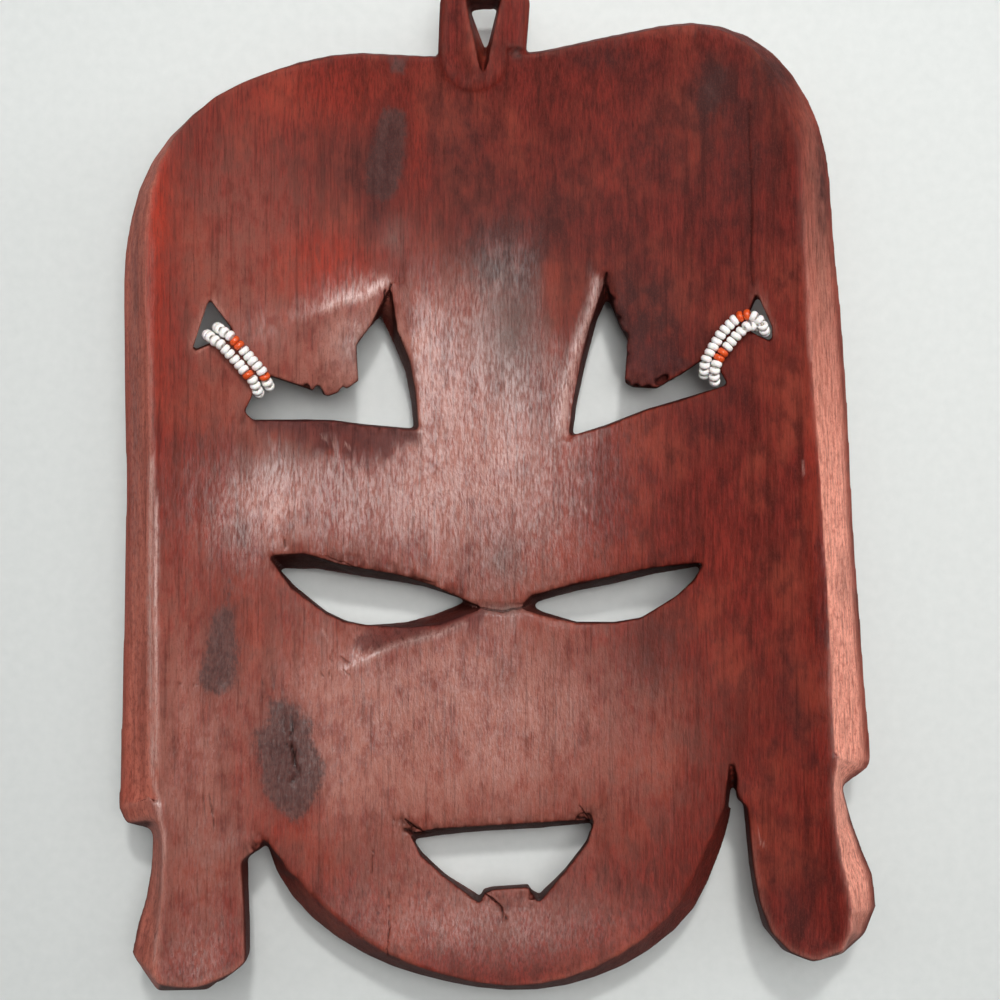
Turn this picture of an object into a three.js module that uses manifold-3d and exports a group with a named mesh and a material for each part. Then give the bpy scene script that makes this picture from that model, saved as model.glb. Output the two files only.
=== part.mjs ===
// A carved wooden mask with four rings of glass beads, lying on its face with the hollow back up.
// Millimetres. X is to the right and Y to the crown as the back is seen, and Z is up, from the face to
// the back. The origin is under the middle of the mask, on the surface that it lies on, and the sizes
// below are drawn from a point close to it.
import * as THREE from 'three';
import Module from 'manifold-3d';
import { mergeVertices } from 'three/addons/utils/BufferGeometryUtils.js';

const wasm = await Module();
wasm.setup();

// Driving sizes

// The middle of the mask as drawn, which is brought to the origin.
const MIDDLE = { x: -0.25, y: -1.1 };

// The hollow back: the height of its floor and how much it rises to the sides, the crown and the chin.
const HOLLOW = {
  floor: 18.5,
  sideRise: 14.5, sideReach: 88, sidePower: 2.4,
  crownRise: 7, crownStart: 62, crownReach: 56,
  chinRise: 10, chinStart: -85, chinReach: 45,
  pitch: 10,
};

// The face below, before its features: it falls away to the sides, the crown and the chin.
const FACE = {
  level: 9.5,
  sideRise: 9, sideReach: 97, sidePower: 2.6,
  crownRise: 4, crownStart: 62, crownReach: 56,
  chinRise: 4, chinStart: -95, chinReach: 40,
  pitch: 6.4,
};

// The raised features of the face, each with its middle, its half sizes and its height.
const FACE_OVAL = { x: 0, y: -35, halfWidth: 63, halfLength: 97, edge: 0.08, height: 3.4 };
const HAIR_ROLL = { y: 86, bow: 0.0022, halfWidth: 13, halfLength: 84, height: 12.6 };
const NOSE = {
  top: -16, tip: -66, base: -77,
  bridgeWidth: 6, tipWidth: 13, widthPower: 1.6,
  bridgeHeight: 3, tipHeight: 8.6, heightPower: 1.4,
};
const BROWS = { x: 35, y: -9, halfLength: 31, halfWidth: 8, bow: 7, height: 3 };
const CHEEKS = { x: 41, y: -66, radius: 25, height: 2.4 };
const LIPS = { x: 0.5, y: -98, halfWidth: 31, halfLength: 15, band: 8, height: 3.6 };
const LIDS = { x: 33, y: -30, halfWidth: 30, halfLength: 10, band: 6, height: 2 };
const EARS = { x: 82, top: 28, bottom: -84, halfWidth: 8, height: 3.2 };

// Past this many of its reaches the rise to the crown or the chin stays even.
const RISE_LIMIT = 1.3;

// The block that the wood is carved from, wider than the mask all round.
const BLOCK = { width: 208, length: 264, middleY: -8 };

// Levels clear below and above the wood, for the flat sides of the blocks and for the cutters.
const CLEAR = { below: -40, above: 70 };

// The edge of the wood: the widest line lies this far above the face, and the face rounds over below
// it. Corners are moved in by no more than the mitre, and points closer than nearest are left out.
const EDGE = {
  aboveFace: 4, roundDrop: 6, roundInset: 4.5, overshoot: 2,
  step: 8, nearest: 0.5, mitre: 1.5,
};

// The outline as the back is seen, clockwise from the hanging loop. Each point has its X, its Y and the
// width of the bevel between the widest line and the back. A smooth stretch is a curve through its
// points.
const OUTLINE = [
  { // crown, temple and right side
    smooth: true,
    points: [
      [-4, 112.8, 2.2], [11, 114.4, 2.4], [30, 118.3, 2.6], [52, 121.5, 3], [66.4, 117.6, 4.8],
      [77.5, 108, 7], [85.5, 91, 8.6], [88.5, 63, 9.6], [91.4, 28, 10.6], [92.9, -4.5, 10],
      [95.3, -41, 10.4], [97.7, -72.5, 11.8],
    ],
  },
  { // right step
    points: [[97.7, -72.5, 11.8], [96.6, -75.1, 10.4], [90.4, -79.9, 4]],
  },
  { // right lobe
    smooth: true,
    points: [
      [90.4, -79.9, 4], [93.6, -91.5, 6.8], [98.2, -103, 8.6], [98.6, -112.5, 8.4], [94, -120.7, 6],
      [85, -126.1, 3.6], [77, -124.4, 3.4], [70.8, -117.8, 2.6], [68, -106, 1.6], [65.9, -84.9, 1.4],
    ],
  },
  { // chin
    smooth: true,
    points: [
      [63.5, -83.1, 4], [60, -95, 5.4], [51.7, -114, 6], [36.5, -126.6, 6], [18, -133.2, 5],
      [2, -134.4, 4.6], [-14, -132.2, 4.8], [-31.5, -127.2, 5.6], [-46.5, -118.6, 6.6],
      [-56.7, -107.9, 6], [-62.2, -96.1, 2.4],
    ],
  },
  { // left notch
    points: [[-62.2, -96.1, 2.4], [-63.8, -96.9, 2], [-67.4, -99.1, 1.8]],
  },
  { // left lobe, inner side
    smooth: true,
    points: [[-67.4, -99.1, 1.8], [-67, -109, 1.5], [-66.3, -123.7, 1.4]],
  },
  { // left lobe, end
    points: [
      [-66.3, -123.7, 1.4], [-67.3, -126.5, 2.4], [-76.5, -133.6, 4.4], [-89.5, -133.2, 5.6],
      [-96.1, -123, 8.4],
    ],
  },
  { // left lobe, outer side
    smooth: true,
    points: [[-96.1, -123, 8.4], [-94.3, -114, 7.6], [-91.7, -105, 5.8], [-90.9, -92.7, 5.1]],
  },
  { // left step
    points: [[-90.9, -92.7, 5.1], [-91.4, -90.9, 5.6], [-97.9, -89, 11.6], [-99.4, -85, 13]],
  },
  { // left side, temple and crown
    smooth: true,
    points: [
      [-99.4, -85, 13], [-98.7, -57, 11.3], [-98.1, -28, 9.8], [-97.6, 0, 9.1], [-98.1, 32, 8.7],
      [-97.4, 63, 7.4], [-91.2, 84, 5.2], [-77, 100, 2.8], [-60, 109, 2.5], [-41, 113.7, 2.4],
      [-22, 113.2, 2.3], [-4, 112.8, 2.2],
    ],
  },
];

// The openings, each with its outline through the face and its outline on the hollow back, point for
// point.
const OPENINGS = {
  browLeft: {
    face: [
      [-31.9, 45], [-37.4, 39.6], [-39.1, 35.4], [-38.5, 27.7], [-41.8, 25.2], [-46.5, 23.5],
      [-51.6, 25.4], [-61.2, 28.5], [-65.1, 26.6], [-66.2, 23.4], [-68.2, 19.2], [-65.8, 17],
      [-52.8, 17.1], [-44.9, 17.2], [-36.6, 16.1], [-23.1, 14.9], [-23.8, 21.9], [-25.4, 30.3],
      [-28.3, 37.3],
    ],
    back: [
      [-28.4, 52.1], [-34, 40.9], [-37.4, 36.2], [-37, 27], [-40.4, 24.5], [-45, 22.8], [-50.1, 24.8],
      [-59.3, 27.8], [-63, 25.9], [-64, 22.5], [-65.9, 18.4], [-63.7, 16.1], [-51.3, 16.1],
      [-43.4, 16.2], [-35.4, 15], [-21, 13.9], [-21.8, 23.9], [-23.4, 32.5], [-26.7, 40.2],
    ],
  },
  browRight: {
    face: [
      [29.2, 49.8], [32.3, 43.1], [35, 38.6], [34.5, 27.1], [36.2, 26], [42.8, 25.6], [49.6, 29.4],
      [55.3, 33.3], [58.5, 32], [61.4, 26.4], [50.4, 23], [39.9, 20.1], [29.2, 15.9], [20.2, 13.1],
      [21.3, 21.4], [23.6, 32.1], [26.7, 43.8],
    ],
    back: [
      [28.3, 53.7], [31.5, 42.8], [33.9, 37.8], [33.2, 26.5], [35.1, 25.3], [41.5, 24.9], [48.2, 28.7],
      [53.7, 32.4], [56.8, 30.9], [59.7, 25.5], [49, 21.9], [38.7, 19], [28.3, 14.9], [18.5, 12.3],
      [19.5, 20.6], [21.5, 31.1], [24.1, 41.6],
    ],
  },
  bandLeft: {
    face: [[-77.2, 49.1], [-71.2, 41], [-73.8, 38.8], [-82, 35]],
    back: [[-74.6, 47.5], [-68.8, 39.5], [-71.4, 37.2], [-79, 33.2]],
  },
  bandRight: {
    face: [[69.3, 50.2], [73.1, 41.8], [73.1, 37.8], [68.8, 39.8], [65.6, 41.8]],
    back: [[66.8, 49.4], [70.7, 40.2], [70.7, 36.2], [66.6, 38.4], [63.4, 40.4]],
  },
  eyeLeft: {
    face: [
      [-59.4, -23.3], [-49.2, -23.5], [-37.2, -25.3], [-28.5, -26.6], [-19.9, -28.1], [-8.8, -32],
      [-17.7, -35.7], [-26, -37.8], [-36.3, -38.5], [-41.5, -37.3], [-46.6, -34.7], [-55.2, -27.8],
    ],
    back: [
      [-60, -18.9], [-51.1, -18.4], [-41.6, -21.4], [-27.7, -23.9], [-19.3, -26.3], [-3.8, -33.2],
      [-15.4, -37.5], [-23.3, -38.3], [-35.2, -37.8], [-40.4, -36.7], [-45.5, -34.2], [-54.2, -27.5],
    ],
  },
  eyeRight: {
    face: [
      [9.8, -33.6], [10.8, -32.3], [21.2, -29.3], [31.2, -27.3], [41.9, -24.7], [55.2, -22.6],
      [53.1, -25.9], [48.1, -30.5], [38.7, -36.4], [31.6, -37.7], [21.2, -37.7], [12.1, -35],
    ],
    back: [
      [5.7, -33.1], [8.3, -29.8], [18.9, -27], [28.8, -24.8], [39.8, -22.4], [53.6, -20.8],
      [51.4, -25.3], [46.5, -29.8], [37.5, -35.6], [30.7, -36.9], [20.6, -37], [11.2, -34.9],
    ],
  },
  mouth: {
    face: [
      [-23.1, -97.1], [-17.5, -96], [-4.8, -94.6], [10.5, -93.7], [25.9, -92.9], [24, -97.3],
      [18.1, -104.9], [11.3, -112.3], [8.8, -110.8], [8.1, -109.3], [-1.5, -110], [-4.1, -110.8],
      [-5, -112.8], [-14.3, -106.5], [-20.7, -100.5],
    ],
    back: [
      [-23.3, -92.6], [-17, -91.3], [-4.6, -90.6], [10.2, -89.8], [25.3, -88.6], [23.6, -94.7],
      [17.8, -101.9], [10.6, -110.2], [8.5, -107.7], [7.8, -106.2], [-1.5, -106.9], [-3.8, -107.8],
      [-4.8, -110.4], [-14.2, -103.7], [-20.6, -98.1],
    ],
  },
  chinNotch: { // the groove that runs up from the gap between the chin and the right lobe
    face: [[63.2, -82.2], [65.7, -86.5], [62.7, -86.5]],
    back: [[60.3, -71], [65.6, -86], [59, -86]],
  },
  loopHole: {
    face: [[-7.5, 126.1], [-0.3, 126.6], [-3.3, 115.2]],
    back: [[-9.2, 126.4], [1.4, 126.8], [-4, 104.8]],
  },
};

// The hanging loop on the crown, carved from the same wood.
const LOOP = {
  left: -15.3, right: 8.2, leftFoot: -14.6, rightFoot: 7.2, top: 132.2, shoulder: 7, pull: 0.6,
  collar: 112.4, ledgeX: -6.4, ledgeRadius: 9.4, arcSteps: 4,
  low: 13, high: 24.6, bevel: 1.2,
};

// The bead rings: two on each side, each through a small band hole and over the strip of wood to the
// large opening. A route starts where the ring stands upright in the band hole and ends where it does
// in the large opening.
const BEAD = {
  diameter: 3, waist: 2.2, pitch: 1.62, gap: 0.9, sides: 5,
  uprightParts: [0, 0.35, 0.65, 1],
  splay: 0.0024, // how far outwards the uprights lean for each millimetre down, as the openings do
};
const BEAD_RINGS = {
  beads_left_upper: [[-72.5, 40.2], [-69.6, 38.3], [-64.5, 32.9], [-60.8, 28.3], [-58.9, 24.8]],
  beads_left_lower: [[-75.1, 38.1], [-71.9, 36], [-67.3, 31.1], [-63.3, 26.6], [-61.4, 22.9]],
  beads_right_upper: [[67, 43.8], [63.6, 43], [59, 39.2], [55.2, 33.4], [54, 29.2]],
  beads_right_lower: [[68.4, 40.4], [64.9, 40.1], [61.3, 36.8], [58.1, 31.7], [56.4, 26.8]],
};

// Colours

const woodFinish = new THREE.MeshStandardMaterial({ color: 0x7a352f, roughness: 0.5, metalness: 0 });
const beadFinish = new THREE.MeshStandardMaterial({ color: 0xf1efec, roughness: 0.3, metalness: 0 });

// Solids

function toSolid(geometry) {
  const bare = geometry.clone();
  bare.deleteAttribute('normal');
  bare.deleteAttribute('uv');
  const merged = mergeVertices(bare, 1e-5);
  return new wasm.Manifold(new wasm.Mesh({
    numProp: 3,
    vertProperties: new Float32Array(merged.attributes.position.array),
    triVerts: new Uint32Array(merged.index.array),
  }));
}

function toGeometry(solid) {
  const mesh = solid.getMesh();
  const geometry = new THREE.BufferGeometry();
  geometry.setAttribute('position', new THREE.BufferAttribute(mesh.vertProperties, 3));
  geometry.setIndex(new THREE.BufferAttribute(mesh.triVerts, 1));
  geometry.computeVertexNormals();
  return geometry;
}

// A closed body whose cross-sections are the given rings of points, from the lowest to the highest.
// Every ring has the same number of points and runs anticlockwise as seen from above.
function stackRings(rings) {
  const count = rings[0].length;
  const positions = rings.flat(2);
  const index = [];
  for (let level = 0; level + 1 < rings.length; level += 1) {
    for (let i = 0; i < count; i += 1) {
      const a = level * count + i;
      const b = level * count + ((i + 1) % count);
      index.push(a, b, b + count, a, b + count, a + count);
    }
  }
  const flat = (ring) => ring.map(([x, y]) => new THREE.Vector2(x, y));
  const last = (rings.length - 1) * count;
  for (const [a, b, c] of THREE.ShapeUtils.triangulateShape(flat(rings[0]), [])) {
    index.push(a, c, b);
  }
  for (const [a, b, c] of THREE.ShapeUtils.triangulateShape(flat(rings.at(-1)), [])) {
    index.push(last + a, last + b, last + c);
  }
  const geometry = new THREE.BufferGeometry();
  geometry.setAttribute('position', new THREE.BufferAttribute(new Float32Array(positions), 3));
  geometry.setIndex(index);
  return toSolid(geometry);
}

// Heights of the two broad surfaces

const clamp = THREE.MathUtils.clamp;

function dish(x, y, form) {
  const side = form.sideRise * Math.abs(x / form.sideReach) ** form.sidePower;
  const crown = form.crownRise * clamp((y - form.crownStart) / form.crownReach, 0, RISE_LIMIT) ** 2;
  const chin = form.chinRise * clamp((form.chinStart - y) / form.chinReach, 0, RISE_LIMIT) ** 2;
  return Math.hypot(side, crown + chin);
}

function backHeight(x, y) {
  return HOLLOW.floor + dish(x, y, HOLLOW);
}

// A rounded bump: 1 in the middle and 0 from a distance of 1 outwards.
function bump(distance) {
  return Math.abs(distance) < 1 ? Math.cos(distance * Math.PI / 2) ** 2 : 0;
}

// The swell of a roll or a bead of carving: a half ellipse across its width.
function swell(distance) {
  return Math.sqrt(Math.max(0, 1 - distance * distance));
}

// How far a point lies outside an oval line, in millimetres, roughly.
function offOval(x, y, oval) {
  const radius = Math.hypot(x / oval.halfWidth, y / oval.halfLength);
  return (radius - 1) * Math.min(oval.halfWidth, oval.halfLength);
}

function noseHeight(x, y) {
  if (y > NOSE.top || y < NOSE.base) return 0;
  const along = clamp((NOSE.top - y) / (NOSE.top - NOSE.tip), 0, 1);
  const under = clamp((y - NOSE.base) / (NOSE.tip - NOSE.base), 0, 1);
  const width = THREE.MathUtils.lerp(NOSE.bridgeWidth, NOSE.tipWidth, along ** NOSE.widthPower);
  const height = THREE.MathUtils.lerp(NOSE.bridgeHeight, NOSE.tipHeight, along ** NOSE.heightPower);
  return height * Math.sqrt(under) * bump(x / width);
}

function faceFeatures(x, y) {
  const mirrored = Math.abs(x);
  const { halfWidth, halfLength, edge } = FACE_OVAL;
  const oval = Math.hypot((x - FACE_OVAL.x) / halfWidth, (y - FACE_OVAL.y) / halfLength);
  const inFace = 1 - THREE.MathUtils.smoothstep(oval, 1 - edge, 1);
  const rollY = HAIR_ROLL.y - HAIR_ROLL.bow * x * x;
  const roll = swell((y - rollY) / HAIR_ROLL.halfWidth) * swell(x / HAIR_ROLL.halfLength);
  const browY = BROWS.y - BROWS.bow * ((mirrored - BROWS.x) / BROWS.halfLength) ** 2;
  const brow = bump((y - browY) / BROWS.halfWidth) * bump((mirrored - BROWS.x) / BROWS.halfLength);
  const cheek = bump(Math.hypot(mirrored - CHEEKS.x, y - CHEEKS.y) / CHEEKS.radius);
  const lip = bump(offOval(x - LIPS.x, y - LIPS.y, LIPS) / LIPS.band);
  const lid = bump(offOval(mirrored - LIDS.x, y - LIDS.y, LIDS) / LIDS.band);
  const earAlong = clamp((y - EARS.bottom) / (EARS.top - EARS.bottom), 0, 1);
  const ear = bump((mirrored - EARS.x) / EARS.halfWidth) * Math.sqrt(Math.sin(earAlong * Math.PI));
  return FACE_OVAL.height * inFace + HAIR_ROLL.height * roll + BROWS.height * brow
    + CHEEKS.height * cheek + LIPS.height * lip + LIDS.height * lid + EARS.height * ear
    + noseHeight(x, y);
}

// The features stop at the surface that the mask lies on, which leaves flat spots on the hair roll and
// the nose.
function faceHeight(x, y) {
  return Math.max(0, FACE.level + dish(x, y, FACE) - faceFeatures(x, y));
}

// A block of wood with one broad side carved to a height, the other side flat at an even level.
function carvedBlock(heightAt, pitch, evenLevel) {
  const columns = Math.round(BLOCK.width / pitch);
  const rows = Math.round(BLOCK.length / pitch);
  const box = new THREE.BoxGeometry(BLOCK.width, BLOCK.length, 1, columns, rows, 1);
  box.translate(0, BLOCK.middleY, 0);
  const position = box.attributes.position;
  const carvedSide = evenLevel > 0 ? -1 : 1;
  for (let i = 0; i < position.count; i += 1) {
    const isCarved = Math.sign(position.getZ(i)) === carvedSide;
    position.setZ(i, isCarved ? heightAt(position.getX(i), position.getY(i)) : evenLevel);
  }
  return toSolid(box);
}

// The outline

// The outline's points as [x, y, bevel], anticlockwise, with the smooth stretches turned into short
// steps.
function outlinePoints() {
  const points = [];
  for (const stretch of OUTLINE) {
    const corners = stretch.points.map((p) => new THREE.Vector3(...p));
    if (stretch.smooth) {
      const curve = new THREE.CatmullRomCurve3(corners, false, 'centripetal');
      const steps = Math.max(3, Math.round(curve.getLength() / EDGE.step));
      points.push(...curve.getSpacedPoints(steps));
    } else {
      points.push(...corners);
    }
  }
  const apart = points.filter((p, i) => p.distanceTo(points[(i + 1) % points.length]) > EDGE.nearest);
  return apart.reverse();
}

// The points moved in from the outline, square to it, by a distance for each point.
function insetPoints(points, distanceOf) {
  const count = points.length;
  return points.map((p, i) => {
    const before = new THREE.Vector2().subVectors(p, points[(i + count - 1) % count]).normalize();
    const after = new THREE.Vector2().subVectors(points[(i + 1) % count], p).normalize();
    const along = before.clone().add(after).normalize();
    const mitre = Math.min(EDGE.mitre, 1 / along.dot(before));
    const distance = distanceOf(p) * mitre;
    return [p.x - along.y * distance, p.y + along.x * distance];
  });
}

function outlineBody() {
  const points = outlinePoints();
  const widest = insetPoints(points, () => 0);
  const back = insetPoints(points, (p) => p.z);
  const rounded = insetPoints(points, () => EDGE.roundInset);
  const widestLevel = ([x, y]) => FACE.level + dish(x, y, FACE) + EDGE.aboveFace;
  const widestRing = widest.map((p) => [...p, widestLevel(p)]);
  const roundedRing = rounded.map((p, i) => [...p, widestRing[i][2] - EDGE.roundDrop]);
  const backRing = back.map((p, i) => {
    const start = new THREE.Vector3(...widestRing[i]);
    const edge = new THREE.Vector3(...p, backHeight(...p));
    const rise = edge.z - start.z;
    return start.lerp(edge, (rise + EDGE.overshoot) / rise).toArray();
  });
  const floorRing = roundedRing.map(([x, y]) => [x, y, CLEAR.below]);
  return stackRings([floorRing, roundedRing, widestRing, backRing]);
}

// The openings

function openingCutter({ face, back }) {
  const ring = (points, levelAt) => {
    const turned = THREE.ShapeUtils.isClockWise(points.map((p) => new THREE.Vector2(...p)));
    const ordered = turned ? [...points].reverse() : points;
    return ordered.map(([x, y]) => [x, y, levelAt(x, y)]);
  };
  return stackRings([
    ring(face, () => CLEAR.below),
    ring(face, faceHeight),
    ring(back, backHeight),
    ring(back, () => CLEAR.above),
  ]);
}

// The hanging loop

function loopBody() {
  const shape = new THREE.Shape();
  shape.moveTo(LOOP.leftFoot, LOOP.collar);
  shape.absarc(LOOP.ledgeX, LOOP.collar, LOOP.ledgeRadius, Math.PI, 2 * Math.PI, false);
  shape.lineTo(LOOP.rightFoot, LOOP.collar);
  shape.lineTo(LOOP.right, LOOP.top - LOOP.shoulder);
  shape.quadraticCurveTo(
    LOOP.right - LOOP.pull, LOOP.top - LOOP.pull, LOOP.right - LOOP.shoulder, LOOP.top,
  );
  shape.lineTo(LOOP.left + LOOP.shoulder, LOOP.top);
  shape.quadraticCurveTo(
    LOOP.left + LOOP.pull, LOOP.top - LOOP.pull, LOOP.left, LOOP.top - LOOP.shoulder,
  );
  const geometry = new THREE.ExtrudeGeometry(shape, {
    depth: LOOP.high - LOOP.low - 2 * LOOP.bevel,
    bevelThickness: LOOP.bevel,
    bevelSize: LOOP.bevel,
    bevelOffset: -LOOP.bevel,
    bevelSegments: 1,
    curveSegments: LOOP.arcSteps,
  });
  geometry.translate(0, 0, LOOP.low + LOOP.bevel);
  return toSolid(geometry);
}

function maskGeometry() {
  let wood = carvedBlock(backHeight, HOLLOW.pitch, CLEAR.below)
    .intersect(carvedBlock(faceHeight, FACE.pitch, CLEAR.above))
    .intersect(outlineBody())
    .add(loopBody());
  for (const opening of Object.values(OPENINGS)) {
    wood = wood.subtract(openingCutter(opening));
  }
  return toGeometry(wood);
}

// The bead rings

// The closed line through a ring's beads: over the back of the strip, down the large opening, under the
// strip and up the band hole.
function ringLine(route) {
  const clear = BEAD.diameter / 2 + BEAD.gap;
  const at = ([x, y], level) => {
    const spread = 1 + BEAD.splay * (backHeight(x, y) - level);
    return new THREE.Vector3(x * spread, y * spread, level);
  };
  const upright = (p, parts) => parts.map((part) => {
    return at(p, THREE.MathUtils.lerp(faceHeight(...p), backHeight(...p), part));
  });
  const strip = route.slice(1, -1);
  const over = strip.map((p) => at(p, backHeight(...p) + clear));
  const down = upright(route.at(-1), [...BEAD.uprightParts].reverse());
  const under = strip.map((p) => at(p, faceHeight(...p) - clear)).reverse();
  const up = upright(route[0], BEAD.uprightParts);
  return new THREE.CatmullRomCurve3([...over, ...down, ...under, ...up], true, 'centripetal');
}

function beadRingGeometry(route) {
  const line = ringLine(route);
  const beads = Math.round(line.getLength() / BEAD.pitch);
  const sections = beads * 2;
  const frames = line.computeFrenetFrames(sections, true);
  const positions = [];
  const index = [];
  for (let i = 0; i < sections; i += 1) {
    const middle = line.getPointAt(i / sections);
    const radius = (i % 2 === 0 ? BEAD.diameter : BEAD.waist) / 2;
    for (let j = 0; j < BEAD.sides; j += 1) {
      const angle = (j / BEAD.sides) * 2 * Math.PI;
      const point = middle.clone()
        .addScaledVector(frames.normals[i], Math.cos(angle) * radius)
        .addScaledVector(frames.binormals[i], Math.sin(angle) * radius);
      positions.push(...point.toArray());
      const a = i * BEAD.sides + j;
      const b = i * BEAD.sides + ((j + 1) % BEAD.sides);
      const ahead = (((i + 1) % sections) - i) * BEAD.sides;
      index.push(a, b, b + ahead, a, b + ahead, a + ahead);
    }
  }
  const geometry = new THREE.BufferGeometry();
  geometry.setAttribute('position', new THREE.BufferAttribute(new Float32Array(positions), 3));
  geometry.setIndex(index);
  geometry.computeVertexNormals();
  return geometry;
}

// The object

const object = new THREE.Group();
object.position.set(-MIDDLE.x, -MIDDLE.y, 0);

const mask = new THREE.Mesh(maskGeometry(), woodFinish);
mask.name = 'mask';
object.add(mask);

for (const [name, route] of Object.entries(BEAD_RINGS)) {
  const ring = new THREE.Mesh(beadRingGeometry(route), beadFinish);
  ring.name = name;
  object.add(ring);
}

export default object;
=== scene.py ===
import math

import bpy
import numpy as np
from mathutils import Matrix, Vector, noise


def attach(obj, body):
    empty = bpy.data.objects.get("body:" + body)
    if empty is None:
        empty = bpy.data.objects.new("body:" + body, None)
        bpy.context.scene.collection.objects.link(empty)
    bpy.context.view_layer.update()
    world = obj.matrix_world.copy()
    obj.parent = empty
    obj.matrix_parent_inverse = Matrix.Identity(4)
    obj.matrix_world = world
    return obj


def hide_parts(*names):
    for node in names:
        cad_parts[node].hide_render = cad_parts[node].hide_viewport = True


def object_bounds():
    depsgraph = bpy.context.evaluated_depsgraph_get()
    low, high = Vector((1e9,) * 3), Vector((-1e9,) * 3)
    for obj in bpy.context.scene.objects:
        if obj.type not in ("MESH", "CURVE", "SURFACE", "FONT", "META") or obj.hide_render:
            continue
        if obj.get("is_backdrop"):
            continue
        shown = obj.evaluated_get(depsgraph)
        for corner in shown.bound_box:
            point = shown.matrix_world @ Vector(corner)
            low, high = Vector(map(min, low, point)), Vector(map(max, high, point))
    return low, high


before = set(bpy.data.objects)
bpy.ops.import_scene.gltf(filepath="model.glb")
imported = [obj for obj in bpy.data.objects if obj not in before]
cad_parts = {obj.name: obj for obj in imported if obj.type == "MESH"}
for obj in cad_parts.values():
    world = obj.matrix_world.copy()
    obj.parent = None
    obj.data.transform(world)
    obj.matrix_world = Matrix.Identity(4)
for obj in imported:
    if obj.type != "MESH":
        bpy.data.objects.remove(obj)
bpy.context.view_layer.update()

# The carved wood
# The mask is one piece of light, close-grained wood, hollowed with an adze and cut through with a
# knife. It is stained reddish brown, waxed and rubbed, and it has dark knots, chips and cracks. The
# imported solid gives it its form, and its flats are turned here into the curves that they stand for.

MM = 0.001
# The middle of the solid's box, in millimetres, on the drawing that the part's source follows.
MIDDLE = (-0.25, -1.1)

# The hollow back and the face, in millimetres: their levels, how they rise towards the sides, the
# crown and the chin, and how wide the solid's flats are. The flats lie on a grid over the block.
HOLLOW = {
    "level": 18.5, "side_rise": 14.5, "side_reach": 88, "side_power": 2.4,
    "crown_rise": 7, "crown_start": 62, "crown_reach": 56,
    "chin_rise": 10, "chin_start": -85, "chin_reach": 45, "pitch": 10,
}
FACE = {
    "level": 9.5, "side_rise": 9, "side_reach": 97, "side_power": 2.6,
    "crown_rise": 4, "crown_start": 62, "crown_reach": 56,
    "chin_rise": 4, "chin_start": -95, "chin_reach": 40, "pitch": 6.4,
}
RISE_LIMIT = 1.3
BLOCK = {"width": 208, "length": 264, "middle_y": -8}
# The forms of the face, in millimetres: how far to each side and how far up their middles lie, their
# half widths and half lengths, and how far they stand out.
OVAL = {"up": -35, "half_width": 63, "half_length": 97, "height": 3.4}
ROLL = {"up": 86, "droop": 0.0022, "half_width": 84, "half_length": 13, "height": 12.6}
BROW = {"side": 35, "up": -9, "arch": 7, "half_width": 31, "half_length": 8, "height": 3}
CHEEK = {"side": 41, "up": -66, "radius": 25, "height": 2.4}
LIPS = {"side": 0.5, "up": -98, "half_width": 31, "half_length": 15, "roundness": 8, "height": 3.6}
LIDS = {"side": 33, "up": -30, "half_width": 30, "half_length": 10, "roundness": 6, "height": 2}
EAR = {"side": 82, "foot": -84, "length": 112, "half_width": 8, "height": 3.2}
NOSE = {"top": -16, "tip": -66, "base": -77, "width": 6, "widens": 7, "height": 3, "rises": 5.6}
WING = {"side": 8, "up": -67, "half_width": 5.6, "half_length": 7, "height": 2.2}
NOSTRIL = {"side": 4.4, "up": -75.6, "width": 1.8, "depth": 1.8}
# The knife's strokes in the hair and the brows: how far apart they are and how deep they go.
PLAIT = {"pitch": 8.5, "slant": 0.55, "depth": 1.3, "parting": 0.5}
COMBED = {"pitch": 4.6, "depth": 0.4}
BROW_HAIRS = {"pitch": 2.6, "depth": 0.5}
# The highest parts lie on the table, and are eased down to it over this much rather than cut off flat.
EASE = 2.6


def dish(x, y, form):
    """How far a hollow or a face rises above its level, towards its sides, its crown and its chin."""
    side = form["side_rise"] * np.abs(x / form["side_reach"]) ** form["side_power"]
    crown = np.clip((y - form["crown_start"]) / form["crown_reach"], 0, RISE_LIMIT)
    chin = np.clip((form["chin_start"] - y) / form["chin_reach"], 0, RISE_LIMIT)
    return np.hypot(side, form["crown_rise"] * crown**2 + form["chin_rise"] * chin**2)


def back_height(x, y):
    """How high the hollow back lies."""
    return HOLLOW["level"] + dish(x, y, HOLLOW)


def bump(distance):
    """A soft hump, 1 at its middle and 0 from one unit away."""
    return np.where(np.abs(distance) < 1, np.cos(np.clip(distance, -1, 1) * math.pi / 2) ** 2, 0)


def swell(distance):
    """A half round, 1 at its middle and 0 from one unit away."""
    return np.sqrt(np.maximum(0, 1 - distance**2))


def soft_step(value, low, high):
    """Goes smoothly from 0 at the low value to 1 at the high one."""
    share = np.clip((value - low) / (high - low), 0, 1)
    return share * share * (3 - 2 * share)


def groove(distance, width):
    """A knife line with soft sides, 1 deep at its middle."""
    return np.exp(-((distance / width) ** 2))


def strokes(across, pitch):
    """Even knife strokes, 1 where they are deepest."""
    return 0.5 + 0.5 * np.cos(across * 2 * math.pi / pitch)


def off_oval(x, y, form):
    """About how far a point lies outside an oval, and less than 0 inside it."""
    half_width, half_length = form["half_width"], form["half_length"]
    away = np.hypot((x - form["side"]) / half_width, (y - form["up"]) / half_length)
    return (away - 1) * min(half_width, half_length)


def oval_share(x, y):
    """1 on the outline of the face and less inside it."""
    return np.hypot(x / OVAL["half_width"], (y - OVAL["up"]) / OVAL["half_length"])


def roll_line(x, y):
    """How far a point lies above the middle of the hair roll, which droops to the sides."""
    return y - ROLL["up"] + ROLL["droop"] * x * x


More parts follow.
